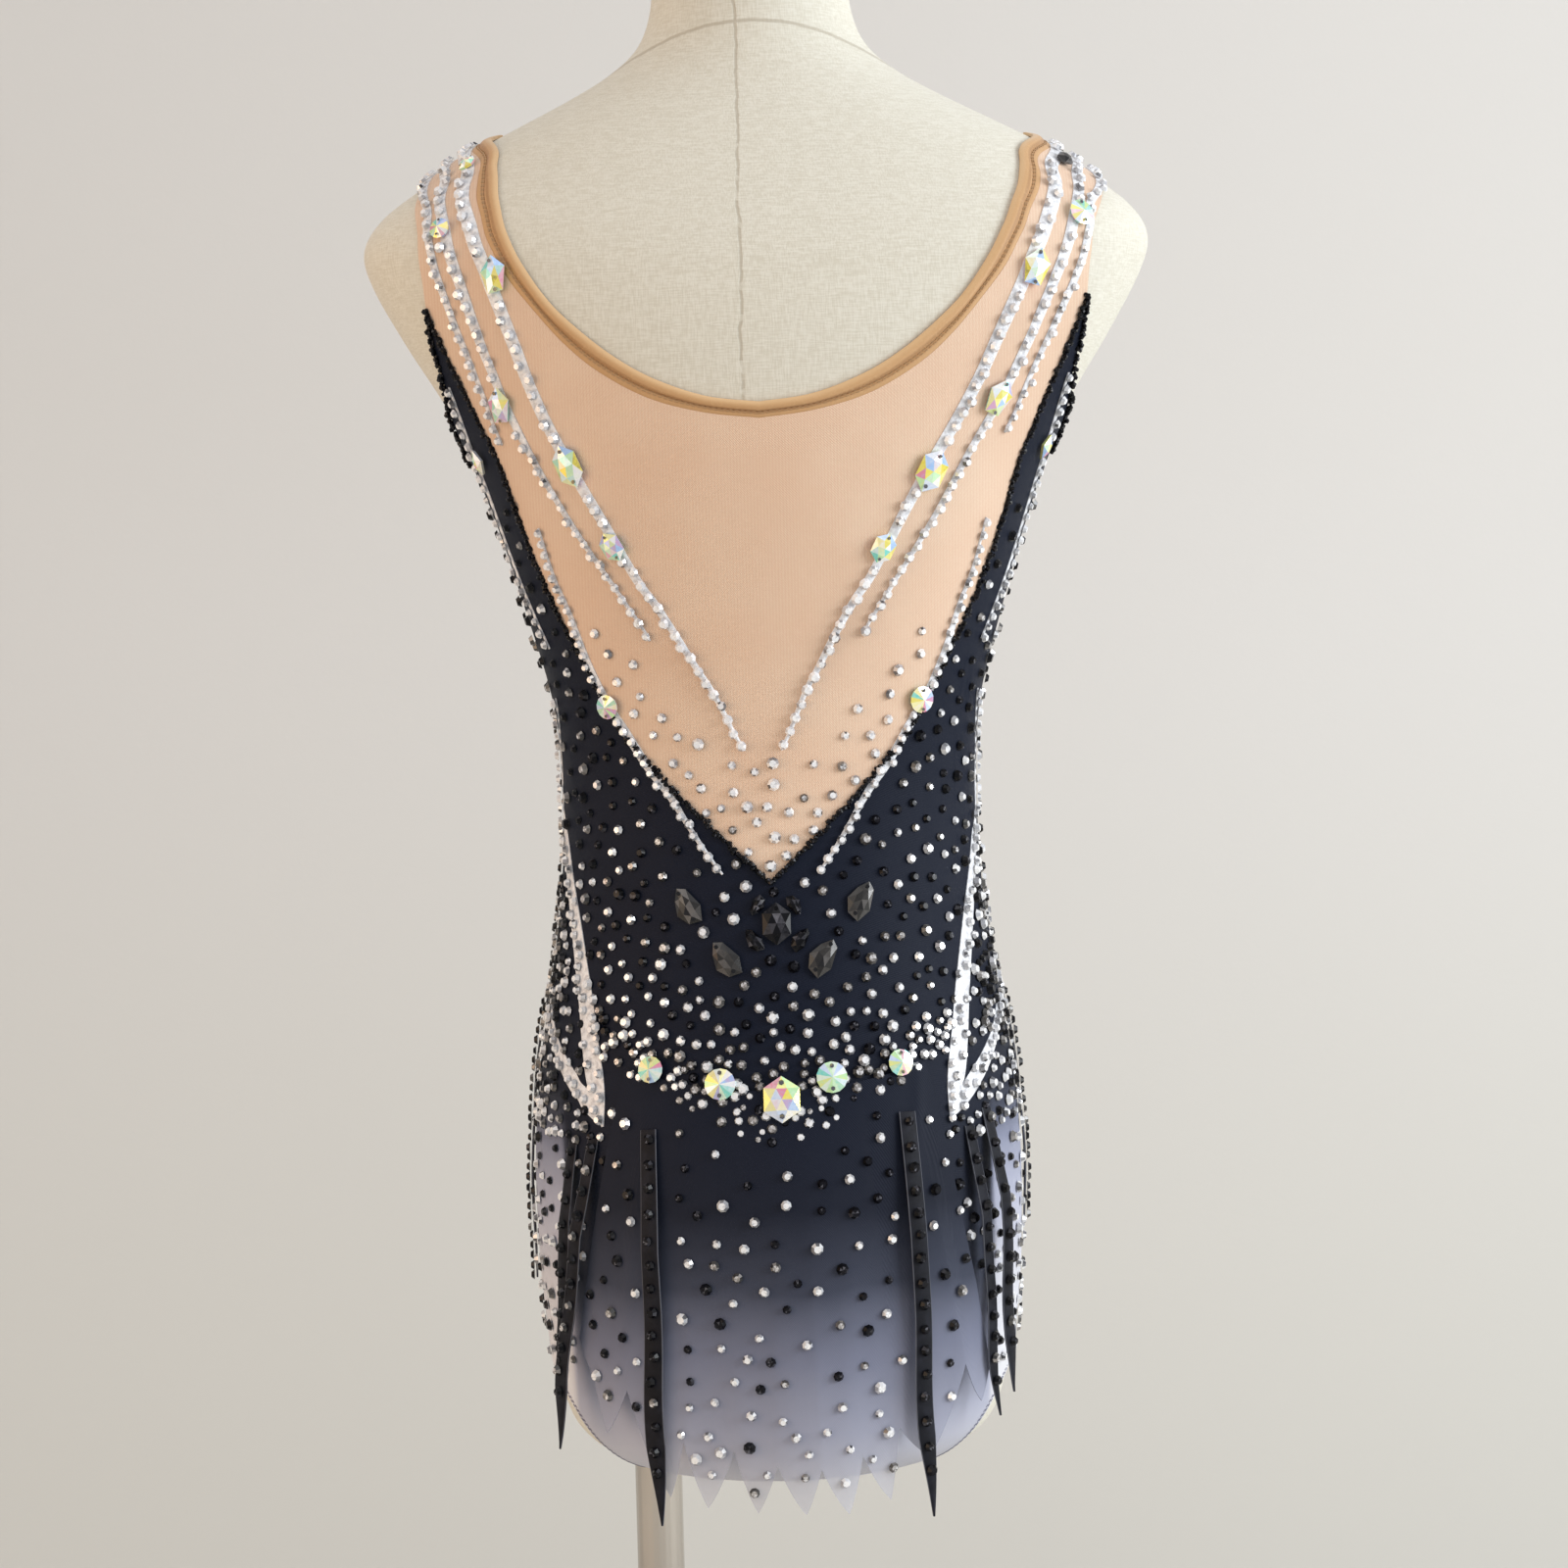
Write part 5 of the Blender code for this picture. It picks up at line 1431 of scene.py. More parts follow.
class Repeat:
    """Small shapes set on points by Geometry Nodes, then made one plain mesh."""

    trees: dict[Shape, bpy.types.NodeTree] = {}

    @classmethod
    def tree(cls, shape: Shape) -> bpy.types.NodeTree:
        """Tree that sets one shape on every point, made once for each shape."""
        if shape in cls.trees:
            return cls.trees[shape]
        tree = bpy.data.node_groups.new("set_" + shape.value, "GeometryNodeTree")
        for name, kind in (("Geometry", "Geometry"), ("Radius", "Float"), ("Depth", "Float"),
                           ("Top Share", "Float"), ("Seed", "Int"), ("Material", "Material")):
            tree.interface.new_socket(name=name, in_out="INPUT", socket_type="NodeSocket" + kind)
        tree.interface.new_socket(name="Geometry", in_out="OUTPUT", socket_type="NodeSocketGeometry")
        g = Graph(tree)
        given = g.add("NodeGroupInput").outputs
        if shape is Shape.STONE:
            small = g.add("ShaderNodeMath", {"operation": "MULTIPLY"},
                          {0: given["Radius"], 1: given["Top Share"]}).outputs[0]
            cone = g.add("GeometryNodeMeshCone", {"fill_type": "TRIANGLE_FAN"},
                         {"Vertices": 8, "Radius Top": small, "Radius Bottom": given["Radius"],
                          "Depth": given["Depth"]})
            source = g.add("GeometryNodeStoreNamedAttribute", {"data_type": "FLOAT", "domain": "FACE"},
                           {"Geometry": cone.outputs["Mesh"], "Name": "table", "Value": cone.outputs["Top"]})
        elif shape is Shape.BEAD:
            source = g.add("GeometryNodeMeshIcoSphere", None, {"Radius": given["Radius"], "Subdivisions": 1})
        else:
            source = g.add("GeometryNodeMeshCylinder", None,
                           {"Vertices": 6, "Radius": given["Radius"], "Depth": given["Depth"]})
        turn = g.add("GeometryNodeInputNamedAttribute", {"data_type": "FLOAT_VECTOR"}, {"Name": "turn"})
        size = g.add("GeometryNodeInputNamedAttribute", {"data_type": "FLOAT"}, {"Name": "size"})
        rotation = g.add("FunctionNodeEulerToRotation", None, {0: turn.outputs[0]})
        placed = g.add("GeometryNodeInstanceOnPoints", None,
                       {"Points": given["Geometry"], "Instance": source.outputs[0],
                        "Rotation": rotation.outputs[0], "Scale": size.outputs[0]})
        real = g.add("GeometryNodeRealizeInstances", None, {"Geometry": placed.outputs[0]})
        chance = g.add("FunctionNodeRandomValue", {"data_type": "FLOAT"}, {"Seed": given["Seed"]})
        luck = Num(g, chance.outputs[1])
        table = g.number("GeometryNodeInputNamedAttribute", {"data_type": "FLOAT"}, {"Name": "table"})
        # Painted light: tables get high values, which the ramps turn bright as a painted highlight on each
        # stone's top; side facets get random painted reflections and glints.
        fire = table * (0.72 + 0.28 * luck) + (1 - table) * 0.66 * luck
        spark = g.add("GeometryNodeStoreNamedAttribute", {"data_type": "FLOAT", "domain": "FACE"},
                      {"Geometry": real.outputs[0], "Name": "fire", "Value": fire})
        finish = g.add("GeometryNodeSetMaterial", None,
                       {"Geometry": spark.outputs[0], "Material": given["Material"]})
        g.add("NodeGroupOutput", None, {"Geometry": finish.outputs[0]})
        cls.trees[shape] = tree
        return tree

    @classmethod
    def build(cls, name: str, shape: Shape, points: np.ndarray, turns: np.ndarray, sizes: np.ndarray,
              finish: Any, radius: float, depth: float, top_share: float = 0.5) -> bpy.types.Object:
        """Set a shape on points and dress the plain mesh.

        Args:
            name: the piece's name.
            shape: which small shape.
            points: n by 3 array in mm.
            turns: n by 3 array of Euler angles.
            sizes: scale of each.
            finish: what they are made of.
            radius: the shape's radius in mm at scale 1.
            depth: its depth in mm at scale 1.
            top_share: a stone's table as a share of its radius.

        Returns:
            The piece.
        """
        mesh = bpy.data.meshes.new(name)
        mesh.from_pydata((np.asarray(points) * MM).tolist(), [], [])
        turn = mesh.attributes.new("turn", "FLOAT_VECTOR", "POINT")
        turn.data.foreach_set("vector", np.asarray(turns, np.float32).ravel())
        size = mesh.attributes.new("size", "FLOAT", "POINT")
        size.data.foreach_set("value", np.asarray(sizes, np.float32))
        obj = link(bpy.data.objects.new(name, mesh))
        tree = cls.tree(shape)
        modifier = obj.modifiers.new("set", "NODES")
        modifier.node_group = tree
        values = {"Radius": radius * MM, "Depth": depth * MM, "Top Share": top_share,
                  "Seed": SEED + len(points), "Material": WARDROBE.get(finish)}
        for item in tree.interface.items_tree:
            if item.in_out == "INPUT" and item.name in values:
                modifier[item.identifier] = values[item.name]
        graph = bpy.context.evaluated_depsgraph_get()
        plain = bpy.data.meshes.new_from_object(obj.evaluated_get(graph))
        obj.modifiers.remove(modifier)
        obj.data = plain
        plain.name = name
        return dress(obj, finish)

    @classmethod
    def stitched(cls, name: str, rows: Sequence, finish: Any, pitch: float) -> None:
        """Set stitches along rows of (points, outward directions)."""
        points, turns = [], []
        for line, normals in rows:
            travelled = lengths_along(line)
            for goal in np.arange(pitch / 2, travelled[-1], pitch):
                at = row_at(goal, travelled, line)
                ahead = Vector(row_at(goal + 0.5, travelled, line)) - Vector(at)
                if ahead.length < 1e-6:
                    continue
                points.append(at)
                turns.append(facing(Vector(row_at(goal, travelled, normals)), ahead)[0])
        cls.build(name, Shape.STITCH, np.array(points), np.array(turns), np.ones(len(points)),
                  finish, 0.28, pitch * 0.62)


def facing(out: Vector, ahead: Vector | None = None, spin: float = 0.0) -> tuple[tuple, Matrix]:
    """Euler angles that set a shape's Z along ahead, or along out where there is no ahead."""
    out = out.normalized()
    if ahead is not None:
        z = ahead.normalized()
        x = out - z * out.dot(z)
        x = x.normalized() if x.length > 1e-6 else z.orthogonal().normalized()
        frame = Matrix((x, z.cross(x), z)).transposed()
        return tuple(frame.to_euler()), frame
    up = Vector((0, 0, 1)) if abs(out.z) < 0.95 else Vector((0, 1, 0))
    right = up.cross(out).normalized()
    frame = Matrix((right, out.cross(right), out)).transposed() @ Matrix.Rotation(spin, 3, "Z")
    return tuple(frame.to_euler()), frame


# Heights at which the belt ends and the upper back begins, and a large stone's height over the skin
BELT_TOP = 508
UPPER_BACK = 600
BELT_LIFT = 3.7
UPPER_LIFT = 2.9
WAIST_LIFT = 1.9


@dataclass
class LargeStone:
    """Sew-on stone with cut facets, each with its own painted reflection and tint, and two sewing holes."""

    cut: str
    finish: Crystal
    x: float
    height: float
    wide: float
    tall: float
    turn: float
    node: str
    number: int
    depth: float = 3.2
    corners: dict = field(default_factory=lambda: {
        "round": 14, "hexagon": 6, "drop": 7, "pentagon": 5, "lozenge": 4})

    def outline(self) -> np.ndarray:
        """Corners of the girdle."""
        count = self.corners[self.cut]
        turn = 2 * np.pi * np.arange(count) / count
        x, y = np.sin(turn), np.cos(turn)
        if self.cut == "drop":
            x = x * np.abs(np.sin(turn / 2)) ** 0.5
            y = y + 0.12 * np.sin(2 * turn)
        if self.cut == "hexagon":
            y = np.where(np.abs(y) < 0.9, np.sign(y) * 0.5, y)
            x = x * 1.1
        if self.cut == "pentagon":
            x = x + 0.12 * np.cos(turn)
        return np.stack([x * self.wide / 2, y * self.tall / 2], axis=1)

    def lift(self) -> float:
        """Height over the skin at which the stone's flat back lies."""
        if self.height < BELT_TOP:
            return BELT_LIFT
        return UPPER_LIFT if self.height > UPPER_BACK else WAIST_LIFT

    def build(self, chance: np.random.Generator) -> tuple[np.ndarray, float]:
        """Build the stone; returns its place and radius."""
        rim = self.outline()
        count = len(rim)
        rings = [(rim * 0.92, 0.0), (rim, 0.38 * self.depth)]
        pointed = self.cut == "round"
        if not pointed:
            middle = (rim + np.roll(rim, -1, axis=0)) / 2
            rings.append((middle * 0.62, 0.86 * self.depth))
        local = np.vstack([np.column_stack([ring, np.full(count, z)]) for ring, z in rings]
                          + [[[0, 0, self.depth]]])
        apex = len(local) - 1
        faces = [list(range(count))]
        for i in range(count):
            j = (i + 1) % count
            faces.append([i, i + count, j + count, j])
            if pointed:
                faces.append([i + count, apex, j + count])
            else:
                faces.append([i + count, i + 2 * count, j + count])
                faces.append([j + count, i + 2 * count, j + 2 * count])
                faces.append([i + 2 * count, apex, j + 2 * count])
        # Each facet gets a random value for its painted reflection and glint, partly the coating's own tint
        # on aurora stones; the two holes get 0.
        fire = list(chance.uniform(0.04, 1, len(faces)))
        for y in (0.36, -0.36):
            start = len(local)
            hole = [(0.075 * self.wide * math.sin(t), y * self.tall + 0.075 * self.wide * math.cos(t),
                     0.8 * self.depth) for t in np.linspace(0, 2 * math.pi, 7)[:-1]]
            local = np.vstack([local, hole])
            faces.append([start + k for k in (5, 4, 3, 2, 1, 0)])
            fire.append(0.0)
        level = SKIN.level(self.height)
        angle = SKIN.angle(self.x, self.height)
        place = SKIN.at(angle, level, self.lift())
        frame = np.array(facing(Vector(SKIN.normal(angle, level)), None, math.radians(self.turn))[1])
        points = place + local @ frame.T
        name = f"large_stone_{self.number:02d}_{self.cut}"
        obj = mesh_object(name, points, faces, smooth=False)
        bm = bmesh.new()
        bm.from_mesh(obj.data)
        body = [face for face in bm.faces if len(face.verts) != 6 or face.index == 0]
        bmesh.ops.recalc_face_normals(bm, faces=body)
        bm.to_mesh(obj.data)
        bm.free()
        layer = obj.data.attributes.new("fire", "FLOAT", "FACE")
        layer.data.foreach_set("value", np.array(fire, np.float32))
        dress(obj, self.finish, [self.node] if self.node else ())
        return place, max(self.wide, self.tall) / 2


@dataclass
class Studio:
    """Camera at the photograph's angle, soft window light from the right and a pale sweep."""

    focal: float = 67.5
    distance: float = 1.36
    target_height: float = 0.605
    pitch: float = 4.0
    roll: float = 1.4
    offset: float = 0.0068
    bend_start: float = 0.5
    bend: float = 0.9
    wall_top: float = 3.4
    half_width: float = 3.4

    def camera(self) -> None:
        """Place the camera."""
        pitch, roll = math.radians(self.pitch), math.radians(self.roll)
        forward = Vector((0, math.cos(pitch), -math.sin(pitch)))
        up = Vector((1, 0, 0)).cross(forward)
        right = Vector((1, 0, 0)) * math.cos(roll) - up * math.sin(roll)
        up = Vector((1, 0, 0)) * math.sin(roll) + up * math.cos(roll)
        data = bpy.data.cameras.new("photo_camera")
        data.lens = self.focal
        data.sensor_width = 36
        data.sensor_fit = "HORIZONTAL"
        camera = link(bpy.data.objects.new("photo_camera", data))
        place = Vector((0, 0, self.target_height)) - forward * self.distance + right * self.offset
        camera.matrix_world = Matrix.Translation(place) @ Matrix((right, up, -forward)).transposed().to_4x4()
        bpy.context.scene.camera = camera

    def sweep(self) -> None:
        """Floor that curves up into the wall."""
        profile = [(-3.0, 0.0), (self.bend_start, 0.0)]
        for turn in np.radians(np.linspace(0, 90, 16)):
            y = self.bend_start + self.bend * math.sin(turn)
            profile.append((y, self.bend - self.bend * math.cos(turn)))
        profile.append((self.bend_start + self.bend, self.wall_top))
        points, faces = [], []
        for y, z in profile:
            for x in (-self.half_width, self.half_width):
                points.append((x * 1000, y * 1000, z * 1000 - 0.5))
        for i in range(len(profile) - 1):
            faces.append((2 * i, 2 * i + 1, 2 * i + 3, 2 * i + 2))
        floor = mesh_object("studio_sweep", np.array(points), faces)
        floor.data.materials.append(WARDROBE.get(Plaster()))

    def light(self, name: str, place: tuple, size: float, power: float, colour: tuple) -> None:
        """Soft square light aimed at the middle of the garment."""
        data = bpy.data.lights.new(name, "AREA")
        data.shape = "SQUARE"
        data.size = size
        data.energy = power
        data.color = colour
        lamp = link(bpy.data.objects.new(name, data))
        aim = Vector((0, 0, 0.6)) - Vector(place)
        lamp.matrix_world = Matrix.Translation(place) @ aim.to_track_quat("-Z", "Y").to_matrix().to_4x4()

    def build(self) -> None:
        """Build the studio."""
        self.camera()
        self.sweep()
        self.light("window", (2.3, -0.75, 1.2), 1.5, 60, (0.93, 0.97, 1.0))
        self.light("room_fill", (-1.9, -1.2, 1.0), 1.8, 17, (1.0, 0.76, 0.52))
        self.light("warm_glow", (-0.95, -0.35, 0.62), 0.6, 1.25, (1.0, 0.5, 0.17))
        self.light("ceiling", (0.2, -0.6, 2.7), 2.4, 14, (1.0, 0.98, 0.95))
        world = bpy.data.worlds.new("studio_air")
        world.use_nodes = True
        world.node_tree.nodes["Background"].inputs[0].default_value = (0.93, 0.95, 1.0, 1)
        world.node_tree.nodes["Background"].inputs[1].default_value = 0.46
        bpy.context.scene.world = world
        bpy.context.scene.view_settings.view_transform = "Standard"


# Depth and table of a small stone, and the height of its middle, as shares of its diameter
STONE_DEPTH = 0.33
STONE_TABLE = 0.58
STONE_MIDDLE = 0.165
# Diameters of the small stones and how common each one is
STONE_SIZES = (4.0, 4.7, 5.6)
SIZE_SHARES = (0.36, 0.46, 0.18)
# Upper end of a random spin, in radians
FULL_SPIN = 6.28


@dataclass
class Strewn:
    """Small stones gathered by kind while they are placed."""

    points: dict = field(default_factory=lambda: {kind: [] for kind in SMALL_STONES})
    places: list = field(default_factory=list)
    radii: list = field(default_factory=list)
    known: int = field(default=0, init=False)
    array: np.ndarray = field(init=False)
    reach: np.ndarray = field(init=False)

    def reserve(self, place: np.ndarray, radius: float) -> None:
        """Keep other stones off a place."""
        self.places.append(np.asarray(place, float))
        self.radii.append(radius)

    def put(self, kind: str, place: np.ndarray, out: np.ndarray, size: float, spin: float) -> None:
        """Set one stone."""
        self.points[kind].append((place, out, size, spin))
        self.reserve(place, size / 2)

    def gap(self, place: np.ndarray) -> float:
        """Distance from a place to the nearest stone's edge."""
        if not self.places:
            return 1e9
        if len(self.places) != self.known:
            self.array = np.array(self.places)
            self.reach = np.array(self.radii)
            self.known = len(self.places)
        return float((np.linalg.norm(self.array - place, axis=1) - self.reach).min())

    def build(self, label: str) -> None:
        """Build the stones of each kind and start afresh, but keep the places."""
        for kind, stones in self.points.items():
            if not stones:
                continue
            points = np.array([place + out * size * STONE_MIDDLE for place, out, size, _ in stones])
            turns = [facing(Vector(out), None, spin)[0] for _, out, _, spin in stones]
            sizes = [stone[2] for stone in stones]
            Repeat.build(f"stones_{kind}_{label}", Shape.STONE, points, np.array(turns),
                         np.array(sizes), SMALL_STONES[kind], 0.5, STONE_DEPTH, STONE_TABLE)
            stones.clear()


# Half width of the stone belt and how far its ends rise over its middle
BELT_HALF = 72
BELT_RISE = 22


def belt_bow(x: float) -> float:
    """How far the stone belt has risen at a distance from the centre line."""
    return BELT_RISE * (x / BELT_HALF) ** 2


def edge_x(spots: Sequence, height: np.ndarray) -> np.ndarray:
    """Distance from the centre line of an edge at a height."""
    table = np.array(spots, float)
    return np.interp(height, table[:, 1], table[:, 0])


@dataclass
class Jeweller:
    """Sets the small stones: rows on the bands, strewn fields, and beads along the edges."""

    skirts: dict
    chance: np.random.Generator = field(default_factory=lambda: np.random.default_rng(SEED))
    stones: Strewn = field(default_factory=Strewn)

    def row(self, centre: np.ndarray, normals: np.ndarray, widths: np.ndarray, pitch: float,
            size: float, kinds: Sequence, wander: float = 0.12, lift: float = 0.4) -> None:
        """Set stones along a strip.

        Args:
            centre: points along it.
            normals: outward directions.
            widths: its width at each point.
            pitch: distance between stones in mm.
            size: their diameter in mm.
            kinds: kinds and their shares.
            wander: sideways scatter as a share of the width.
            lift: how far out from the line they sit.
        """
        travelled = lengths_along(centre)
        goal = pitch * 0.4
        while goal < travelled[-1]:
            at = row_at(goal, travelled, centre)
            ahead = row_at(goal + 1, travelled, centre) - at
            out = row_at(goal, travelled, normals)
            out /= np.linalg.norm(out)
            width = float(np.interp(goal, travelled, widths))
            across = np.cross(out, ahead)
            across /= max(np.linalg.norm(across), 1e-9)
            place = at + across * self.chance.normal(0, wander) * width + out * lift
            real = size * self.chance.uniform(0.88, 1.1)
            if self.stones.gap(place) > real * 0.36:
                kind = self.chance.choice([k for k, _ in kinds], p=[s for _, s in kinds])
                self.stones.put(kind, place, out, real, self.chance.uniform(0, FULL_SPIN))
            goal += pitch * self.chance.uniform(0.88, 1.14)

    def field(self, surface: Callable, spacing: Callable, kinds: Callable, heights: tuple,
              turns: tuple, tries: int) -> None:
        """Strew stones over a surface by a spacing rule.

        Args:
            surface: gives (point, outward direction) at an angle from the centre and a height.
            spacing: clear distance between stones at x and height, or 0 for none.
            kinds: gives the shares of clear, grey and jet at x and height.
            heights: lowest and highest.
            turns: least and greatest angle from the centre line.
            tries: how many places are tried.
        """
        for _ in range(tries):
            turn = self.chance.uniform(*turns)
            height = self.chance.uniform(*heights)
            half = float(SKIN.ring(SKIN.level(height))[1])
            x = half * math.sin(math.radians(turn))
            clear = spacing(x, height)
            if clear <= 0:
                continue
            place, out = surface(turn, height)
            if self.stones.gap(place) < clear * self.chance.uniform(0.85, 1.2):
                continue
            kind = self.chance.choice(["clear", "grey", "jet"], p=kinds(x, height))
            size = self.chance.choice(STONE_SIZES, p=SIZE_SHARES)
            self.stones.put(kind, place, out, size, self.chance.uniform(0, FULL_SPIN))

    def large(self) -> None:
        """Set the large stones."""
        finishes = {"aurora": AURORA, "smoke": SMOKE, "jet": JET}
        for number, (cut, finish, *rest) in enumerate(LARGE_STONES):
            stone = LargeStone(cut, finishes[finish], *rest, number)
            place, radius = stone.build(self.chance)
            self.stones.reserve(place, radius * 0.85)

    def bands(self, bands: Sequence[Band]) -> None:
        """Set the rows of stones on the white bands."""
        settings = {
            "band_inner": (6.4, 5.0, 0.2), "band_middle": (6.2, 4.7, 0.2), "band_outer": (5.8, 4.3, 0.2),
            "flash_arm": (5.4, 4.2, 0.2), "flash_v": (5.6, 4.4, 0.25),
            "flash_hip_inner": (5.0, 4.5, 0.26), "flash_hip_outer": (4.6, 4.3, 0.26),
        }
        shoulder = (("frost", 0.75), ("clear", 0.25))
        elsewhere = (("frost", 0.5), ("clear", 0.5))
        for band in bands:
            centre, normals, widths = band.line()
            pitch, size, wander = settings[band.name.rsplit("_", 1)[0]]
            mostly = shoulder if "band" in band.name else elsewhere
            self.row(centre, normals, widths, pitch, size, mostly, wander, 0.5)
        self.stones.build("bands")

    def ribbons(self, ribbons: Sequence[Ribbon]) -> None:
        """Set the jet stones down the ribbons."""
        for ribbon in ribbons:
            centre, normals, widths = ribbon.line()
            side = isinstance(ribbon, SideRibbon)
            kept = int(len(centre) * (1.0 if side else 0.9))
            pitch, size = (4.6, 4.6) if side else (10.2, 4.9)
            kinds = (("jet", 0.8), ("grey", 0.2)) if side else (("jet", 0.9), ("grey", 0.1))
            self.row(centre[:kept], normals[:kept], widths[:kept], pitch, size, kinds,
                     0.2 if side else 0.06, 0.35)
        self.stones.build("ribbons")

    @staticmethod
    def cloth(side: Side, lift: float, folds: Sequence[Fold] = ()) -> Callable:
        """Surface of cloth that lies on the body."""
        def surface(turn: float, height: float) -> tuple[np.ndarray, np.ndarray]:
            """Point and outward direction at an angle from the centre and a height."""
            level = SKIN.level(height)
            angle = side.angle(turn)
            x = SKIN.ring(level)[1] * math.sin(math.radians(turn))
            extra = float(folded(folds, np.array(x), np.array(height)))
            return SKIN.at(angle, level, lift + extra), SKIN.normal(angle, level)
        return surface

    def draped(self, side: Side) -> Callable:
        """Surface of the skirt on one face."""
        skirt = self.skirts[side]

        def surface(turn: float, height: float) -> tuple[np.ndarray, np.ndarray]:
            """Point and outward direction at an angle from the centre and a height."""
            held = max(height, HANG_HEIGHT)
            x = SKIN.ring(SKIN.level(height))[1] * math.sin(math.radians(turn))
            x_held = np.array(float(x))
            place = skirt.point(x_held, np.array(float(height)))
            out = SKIN.normal(side.angle(SKIN.angle(x_held, held)), SKIN.level(held))
            return place, out
        return surface

    def nude(self) -> None:
        """Strew the lower V, closer towards its point and its black edges."""
        def spacing(x: float, height: float) -> float:
            """Clear distance between stones."""
            inside = float(edge_x(BACK_BLACK_EDGE, height)) - abs(x)
            if inside < 3 or height < 571:
                return 0
            reach = 10 + (700 - height) * 0.34
            if height > 726 or (inside > reach and height > 622):
                return 0
            return 4.6 + max(0, height - 600) * 0.045 + min(inside, 30) * 0.06

        half = self.cloth(Side.BACK, 1.5, YOKE_FOLDS)
        self.field(half, spacing, lambda x, z: (0.92, 0.08, 0.0), (568, 728), (-88, 88), 5200)
        self.stones.build("yoke")

    def body_spacing(self, x: float, height: float) -> float:
        """Clear distance between stones on the black back."""
        if height > 566 and abs(x) < float(edge_x(BACK_BLACK_EDGE, height)) + 4:
            return 0
        belt = 474 + belt_bow(x)
        dip = 12 * max(0.0, 1 - abs(x) / 46)
        if height < belt - 8 - dip and abs(x) < 74:
            return 0
        off = max(0.0, abs(height - belt - 2 + dip / 2) - dip / 2)
        if off < 12 and abs(x) < 80:
            return 0.9 + off * 0.1
        if abs(x) > 90 and 492 < height < 562:
            return 2.0
        if height < 540:
            return 3.2 + (height - 480) * 0.03
        return 5.0 + (height - 540) * 0.012

    @staticmethod
    def body_kinds(x: float, height: float) -> tuple[float, float, float]:
        """Shares of clear, grey and jet stones on the black back."""
        if abs(height - 480 - belt_bow(x)) < 14 and abs(x) < 80:
            return 0.66, 0.26, 0.08
        if height > 600:
            return 0.16, 0.2, 0.64
        share = min(1.0, (600 - height) / 90)
        return 0.22 + 0.26 * share, 0.26, 0.52 - 0.26 * share

    def body(self) -> None:
        """Strew the black back down to the skirt."""
        surface = self.cloth(Side.BACK, 1.6, BACK_FOLDS)
        self.field(surface, self.body_spacing, self.body_kinds, (452, 735), (-89, 89), 11000)
        self.stones.build("back")

    def skirt(self, side: Side) -> None:
        """Strew the skirt, clear and jet by turns, and the hips beside it."""
        panel = self.skirts[side]
        hem = panel.hem_line()

        def over(x: float, height: float) -> float:
            """Clear distance between stones on the skirt."""
            lowest = float(np.interp(x, hem[:, 0], hem[:, 1])) + 6
            if not hem[0, 0] + 4 < x < hem[-1, 0] - 4 or height < lowest:
                return 0
            if height > panel.top(np.array(x)) - 6 or abs(x) > 66 + (470 - height) * 0.22:
                return 0
            return 8.4 if height > 330 else 7.2

        def beside(x: float, height: float) -> float:
            """Clear distance between stones on the briefs beside the skirt."""
            edge = 69 + (470 - height) * 0.22
            if abs(x) < min(edge, 92):
                return 0
            turn = float(SKIN.angle(x, height))
            leg = float(np.interp(abs(turn), [p[0] for p in LEG_EDGE], [p[1] for p in LEG_EDGE]))
            return 5.4 if SKIN.level(height) > leg + 0.3 else 0

        def shares(x: float, height: float) -> tuple[float, float, float]:
            """Shares of clear, grey and jet stones, with hardly any jet near the hem."""
            jet = 0.06 + 0.42 * min(1.0, max(0.0, (height - 318) / 60))
            return 0.9 - jet, 0.1, jet

        self.field(self.draped(side), over, shares, (298, 470), (-66, 66), 2600)
        folds = BACK_FOLDS if side is Side.BACK else FRONT_FOLDS
        self.field(self.cloth(side, 1.6, folds), beside, shares, (340, 468), (-90, 90), 2200)
        self.stones.build("skirt_" + side.value)

    def front(self) -> None:
        """Strew the hidden front plainly, in the same way as the back."""
        def spacing(x: float, height: float) -> float:
            """Clear distance between stones."""
            if height > 716 and abs(x) < float(edge_x(FRONT_BLACK_EDGE, height)) + 4:
                return 0
            if height < 474 + belt_bow(x) and abs(x) < 74:
                return 0
            near = abs(height - 482 - belt_bow(x))
            if near < 10 and abs(x) < 80:
                return 1.6
            return 4.6 + abs(height - 520) * 0.02

        surface = self.cloth(Side.FRONT, 1.6, FRONT_FOLDS)
        self.field(surface, spacing, lambda x, z: (0.36, 0.24, 0.4), (463, 752), (-89, 89), 6000)
        self.stones.build("front")

    def trim(self, label: str, lines: Sequence, pitch: float, size: float, rough: float) -> None:
        """Set black seed beads along edges.

        Args:
            label: name of the trim.
            lines: arrays of angle and level.
            pitch: distance between beads in mm.
            size: their diameter in mm.
            rough: scatter across the edge in mm.
        """
        points, turns, sizes = [], [], []
        for line in lines:
            bare = SKIN.bare(line[:, 0], line[:, 1])
            length = np.linalg.norm(np.diff(bare, axis=0), axis=1).sum()
            travelled = lengths_along(bare)
            for goal in np.arange(0, length, pitch):
                goal += self.chance.uniform(-0.3, 0.3) * pitch
                angle, level = row_at(goal, travelled, line)
                place = SKIN.at(angle, level, 1.9 + self.chance.uniform(0, 0.9))
                points.append(place + self.chance.normal(0, rough, 3))
                turns.append(self.chance.uniform(0, FULL_SPIN, 3))
                sizes.append(size * self.chance.uniform(0.7, 1.25))
        Repeat.build("beads_" + label, Shape.BEAD, np.array(points), np.array(turns), np.array(sizes),
                     JET, 0.5, 1.0)


